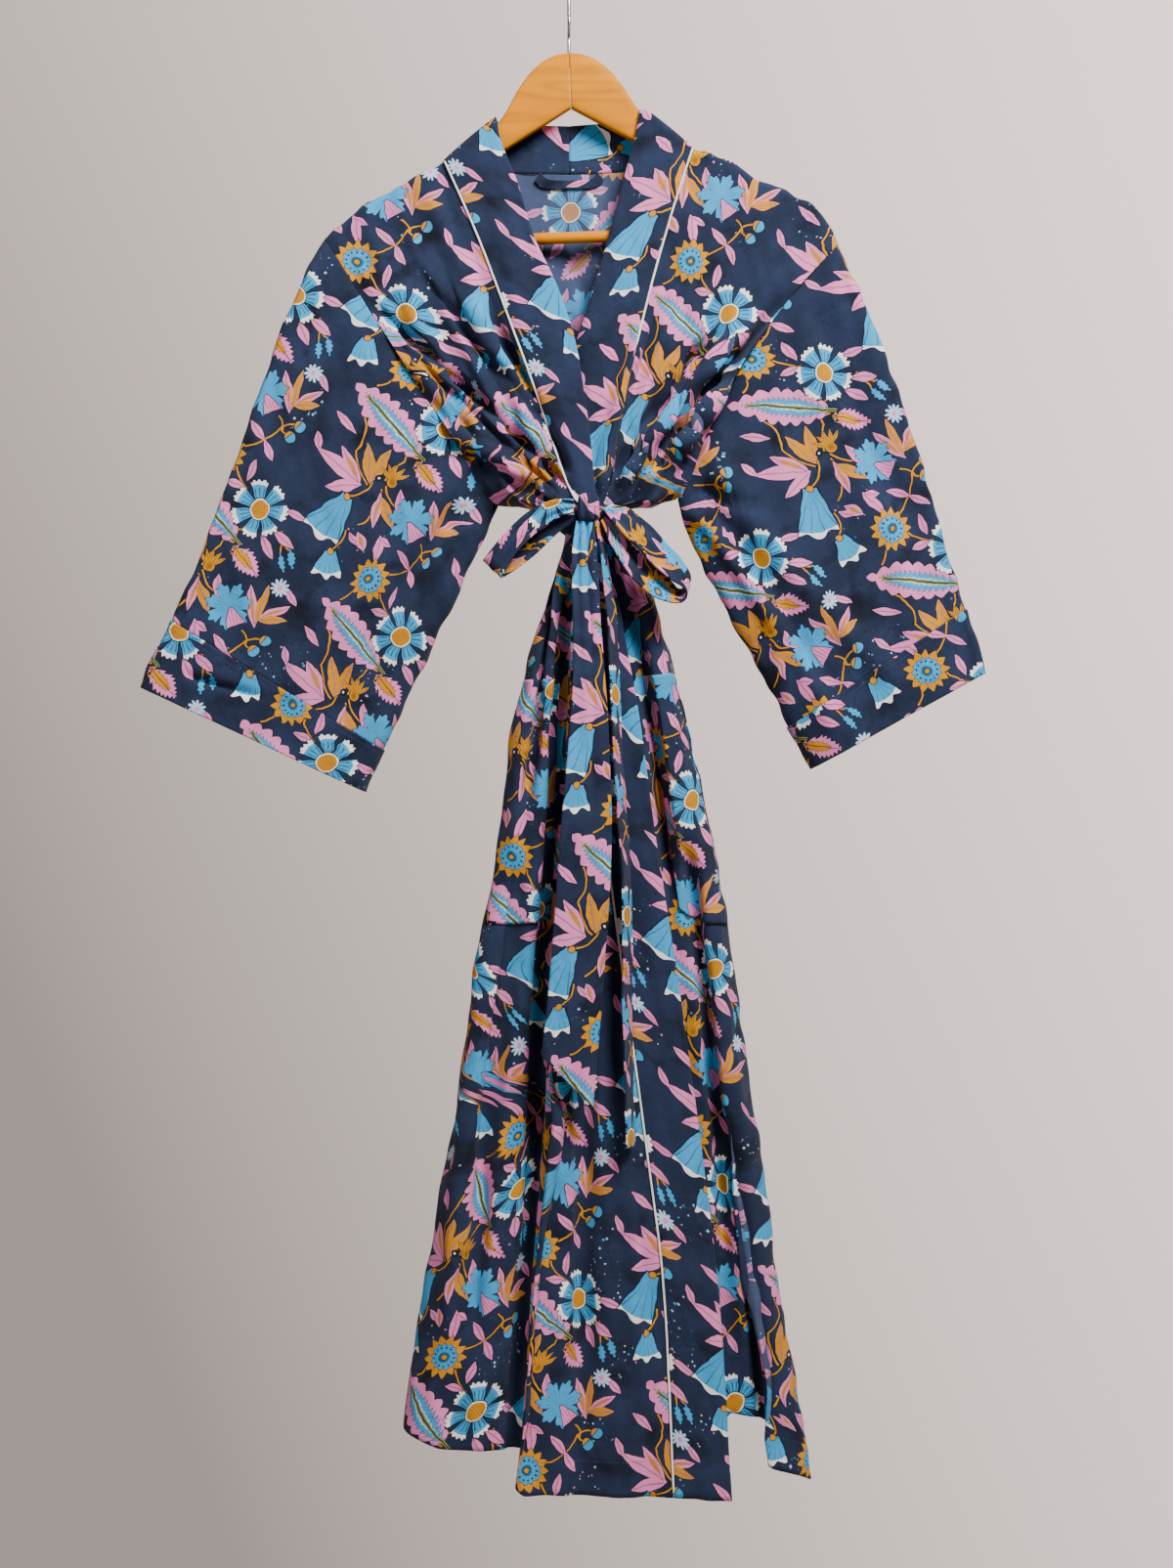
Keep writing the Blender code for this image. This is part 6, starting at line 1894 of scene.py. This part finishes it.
class RobeStudioSettings(bpy.types.PropertyGroup):
    """The camera, the lights and the plain ground behind the robe."""

    distance: FloatProperty(
        name="Camera distance", description="From the camera to the plane of the hanger",
        default=2.2, min=0.5, max=10, subtype="DISTANCE", unit="LENGTH",
    )
    centre_x: FloatProperty(
        name="Camera across", description="Where the camera stands, left to right",
        default=0.0167, subtype="DISTANCE", unit="LENGTH",
    )
    centre_z: FloatProperty(
        name="Camera height", description="Height of the camera",
        default=-0.7547, subtype="DISTANCE", unit="LENGTH",
    )
    lens: FloatProperty(
        name="Lens", description="Focal length", default=0.0531, min=0.01, max=0.2,
        subtype="DISTANCE_CAMERA", unit="CAMERA",
    )
    key_power: FloatProperty(
        name="Key light", description="Power of the large light over the robe",
        default=150.0, min=0, max=500, unit="POWER",
    )
    fill_power: FloatProperty(
        name="Fill light", description="Power of the light at the left",
        default=16.0, min=0, max=500, unit="POWER",
    )
    backdrop: FloatVectorProperty(
        name="Backdrop", description="Colour of the plain ground behind the robe",
        default=ink(255, 237, 229), size=4, min=0, max=1, subtype="COLOR",
    )
    wall_glow: FloatProperty(
        name="Glow", description="How much brighter the ground is at the right than at the left",
        default=1.36, min=0.0, max=3.0,
    )
    wall_shade: FloatProperty(
        name="Shade", description="Brightness of the ground at the left",
        default=0.42, min=0.0, max=3.0,
    )
    room_light: FloatProperty(
        name="Room light", description="Brightness of the room before the robe",
        default=0.22, min=0.0, max=3.0,
    )
    floor_height: FloatProperty(
        name="Floor height", description="Where the floor lies below the hook",
        default=-1.75, subtype="DISTANCE", unit="LENGTH",
    )


class ROBE_OT_fronts(bpy.types.Operator):
    """Makes the two fronts of the robe"""

    bl_idname = "robe.fronts"
    bl_label = "Make the fronts"

    def execute(self, context):
        for half in HALVES:
            make_front(half, context.scene.robe_cloth)
        return {"FINISHED"}


class ROBE_OT_back(bpy.types.Operator):
    """Makes the back of the robe"""

    bl_idname = "robe.back"
    bl_label = "Make the back"

    def execute(self, context):
        make_back(context.scene.robe_cloth)
        return {"FINISHED"}


class ROBE_OT_sleeves(bpy.types.Operator):
    """Makes both sleeves with their turned-up cuffs"""

    bl_idname = "robe.sleeves"
    bl_label = "Make the sleeves"

    def execute(self, context):
        for half in HALVES:
            make_sleeve(half, context.scene.robe_cloth)
        return {"FINISHED"}


class ROBE_OT_neckbands(bpy.types.Operator):
    """Makes the two halves of the neckband and the white piping along their seam"""

    bl_idname = "robe.neckbands"
    bl_label = "Make the neckbands and piping"

    def execute(self, context):
        cloth, trim = context.scene.robe_cloth, context.scene.robe_trim
        for half in HALVES:
            make_neckband(half, cloth)
        for half in HALVES:
            make_piping(half, cloth, trim)
        return {"FINISHED"}


class ROBE_OT_pockets(bpy.types.Operator):
    """Makes the patch pockets and the hanging loop"""

    bl_idname = "robe.pockets"
    bl_label = "Make the pockets and hanging loop"

    def execute(self, context):
        for half in HALVES:
            make_pocket(half, context.scene.robe_cloth)
        make_hanging_loop(context.scene.robe_cloth)
        return {"FINISHED"}


class ROBE_OT_belt(bpy.types.Operator):
    """Makes the belt round the waist, its knot, its bow and its free ends"""

    bl_idname = "robe.belt"
    bl_label = "Make the belt"

    def execute(self, context):
        settings = context.scene.robe_cloth
        make_waist(settings)
        make_knot(settings)
        make_bow(settings)
        return {"FINISHED"}


class ROBE_OT_stitching(bpy.types.Operator):
    """Sews the rows of stitches at hems, cuffs and pockets"""

    bl_idname = "robe.stitching"
    bl_label = "Sew the stitches"

    def execute(self, context):
        make_stitches(context.scene.robe_trim)
        return {"FINISHED"}


class ROBE_OT_hanger(bpy.types.Operator):
    """Makes the wooden hanger with its bar and hook"""

    bl_idname = "robe.hanger"
    bl_label = "Make the hanger"

    def execute(self, context):
        settings = context.scene.robe_hanger
        wood_half("left", -1, settings)
        wood_half("right", 1, settings)
        make_bar(settings)
        make_hook(settings)
        return {"FINISHED"}


class ROBE_OT_studio(bpy.types.Operator):
    """Sets up the camera, the soft lights and the plain ground"""

    bl_idname = "robe.studio"
    bl_label = "Set up the studio"

    def execute(self, context):
        make_studio(context.scene.robe_studio)
        return {"FINISHED"}


class ROBE_PT_panel(bpy.types.Panel):
    """Lists what makes the robe"""

    bl_idname = "ROBE_PT_panel"
    bl_label = "Kimono robe"
    bl_space_type = "VIEW_3D"
    bl_region_type = "UI"
    bl_category = "Robe"

    def draw(self, context):
        for settings in ("robe_cloth", "robe_trim", "robe_hanger", "robe_studio"):
            group = getattr(context.scene, settings)
            box = self.layout.box()
            for name in group.__annotations__:
                box.prop(group, name)
        for operator in OPERATORS:
            self.layout.operator(operator.bl_idname)


SETTINGS = {
    "robe_cloth": RobeClothSettings,
    "robe_trim": RobeTrimSettings,
    "robe_hanger": RobeHangerSettings,
    "robe_studio": RobeStudioSettings,
}
OPERATORS = (
    ROBE_OT_fronts, ROBE_OT_back, ROBE_OT_sleeves, ROBE_OT_neckbands, ROBE_OT_pockets,
    ROBE_OT_belt, ROBE_OT_stitching, ROBE_OT_hanger, ROBE_OT_studio,
)


def register():
    for made in (*SETTINGS.values(), *OPERATORS, ROBE_PT_panel):
        bpy.utils.register_class(made)
    for name, group in SETTINGS.items():
        setattr(bpy.types.Scene, name, PointerProperty(type=group))


def unregister():
    for name in SETTINGS:
        delattr(bpy.types.Scene, name)
    for made in reversed((*SETTINGS.values(), *OPERATORS, ROBE_PT_panel)):
        bpy.utils.unregister_class(made)


def main():
    register()
    bpy.ops.robe.fronts()
    bpy.ops.robe.back()
    bpy.ops.robe.sleeves()
    bpy.ops.robe.neckbands()
    bpy.ops.robe.pockets()
    bpy.ops.robe.belt()
    bpy.ops.robe.stitching()
    bpy.ops.robe.hanger()
    bpy.ops.robe.studio()


if __name__ == "__main__":
    main()
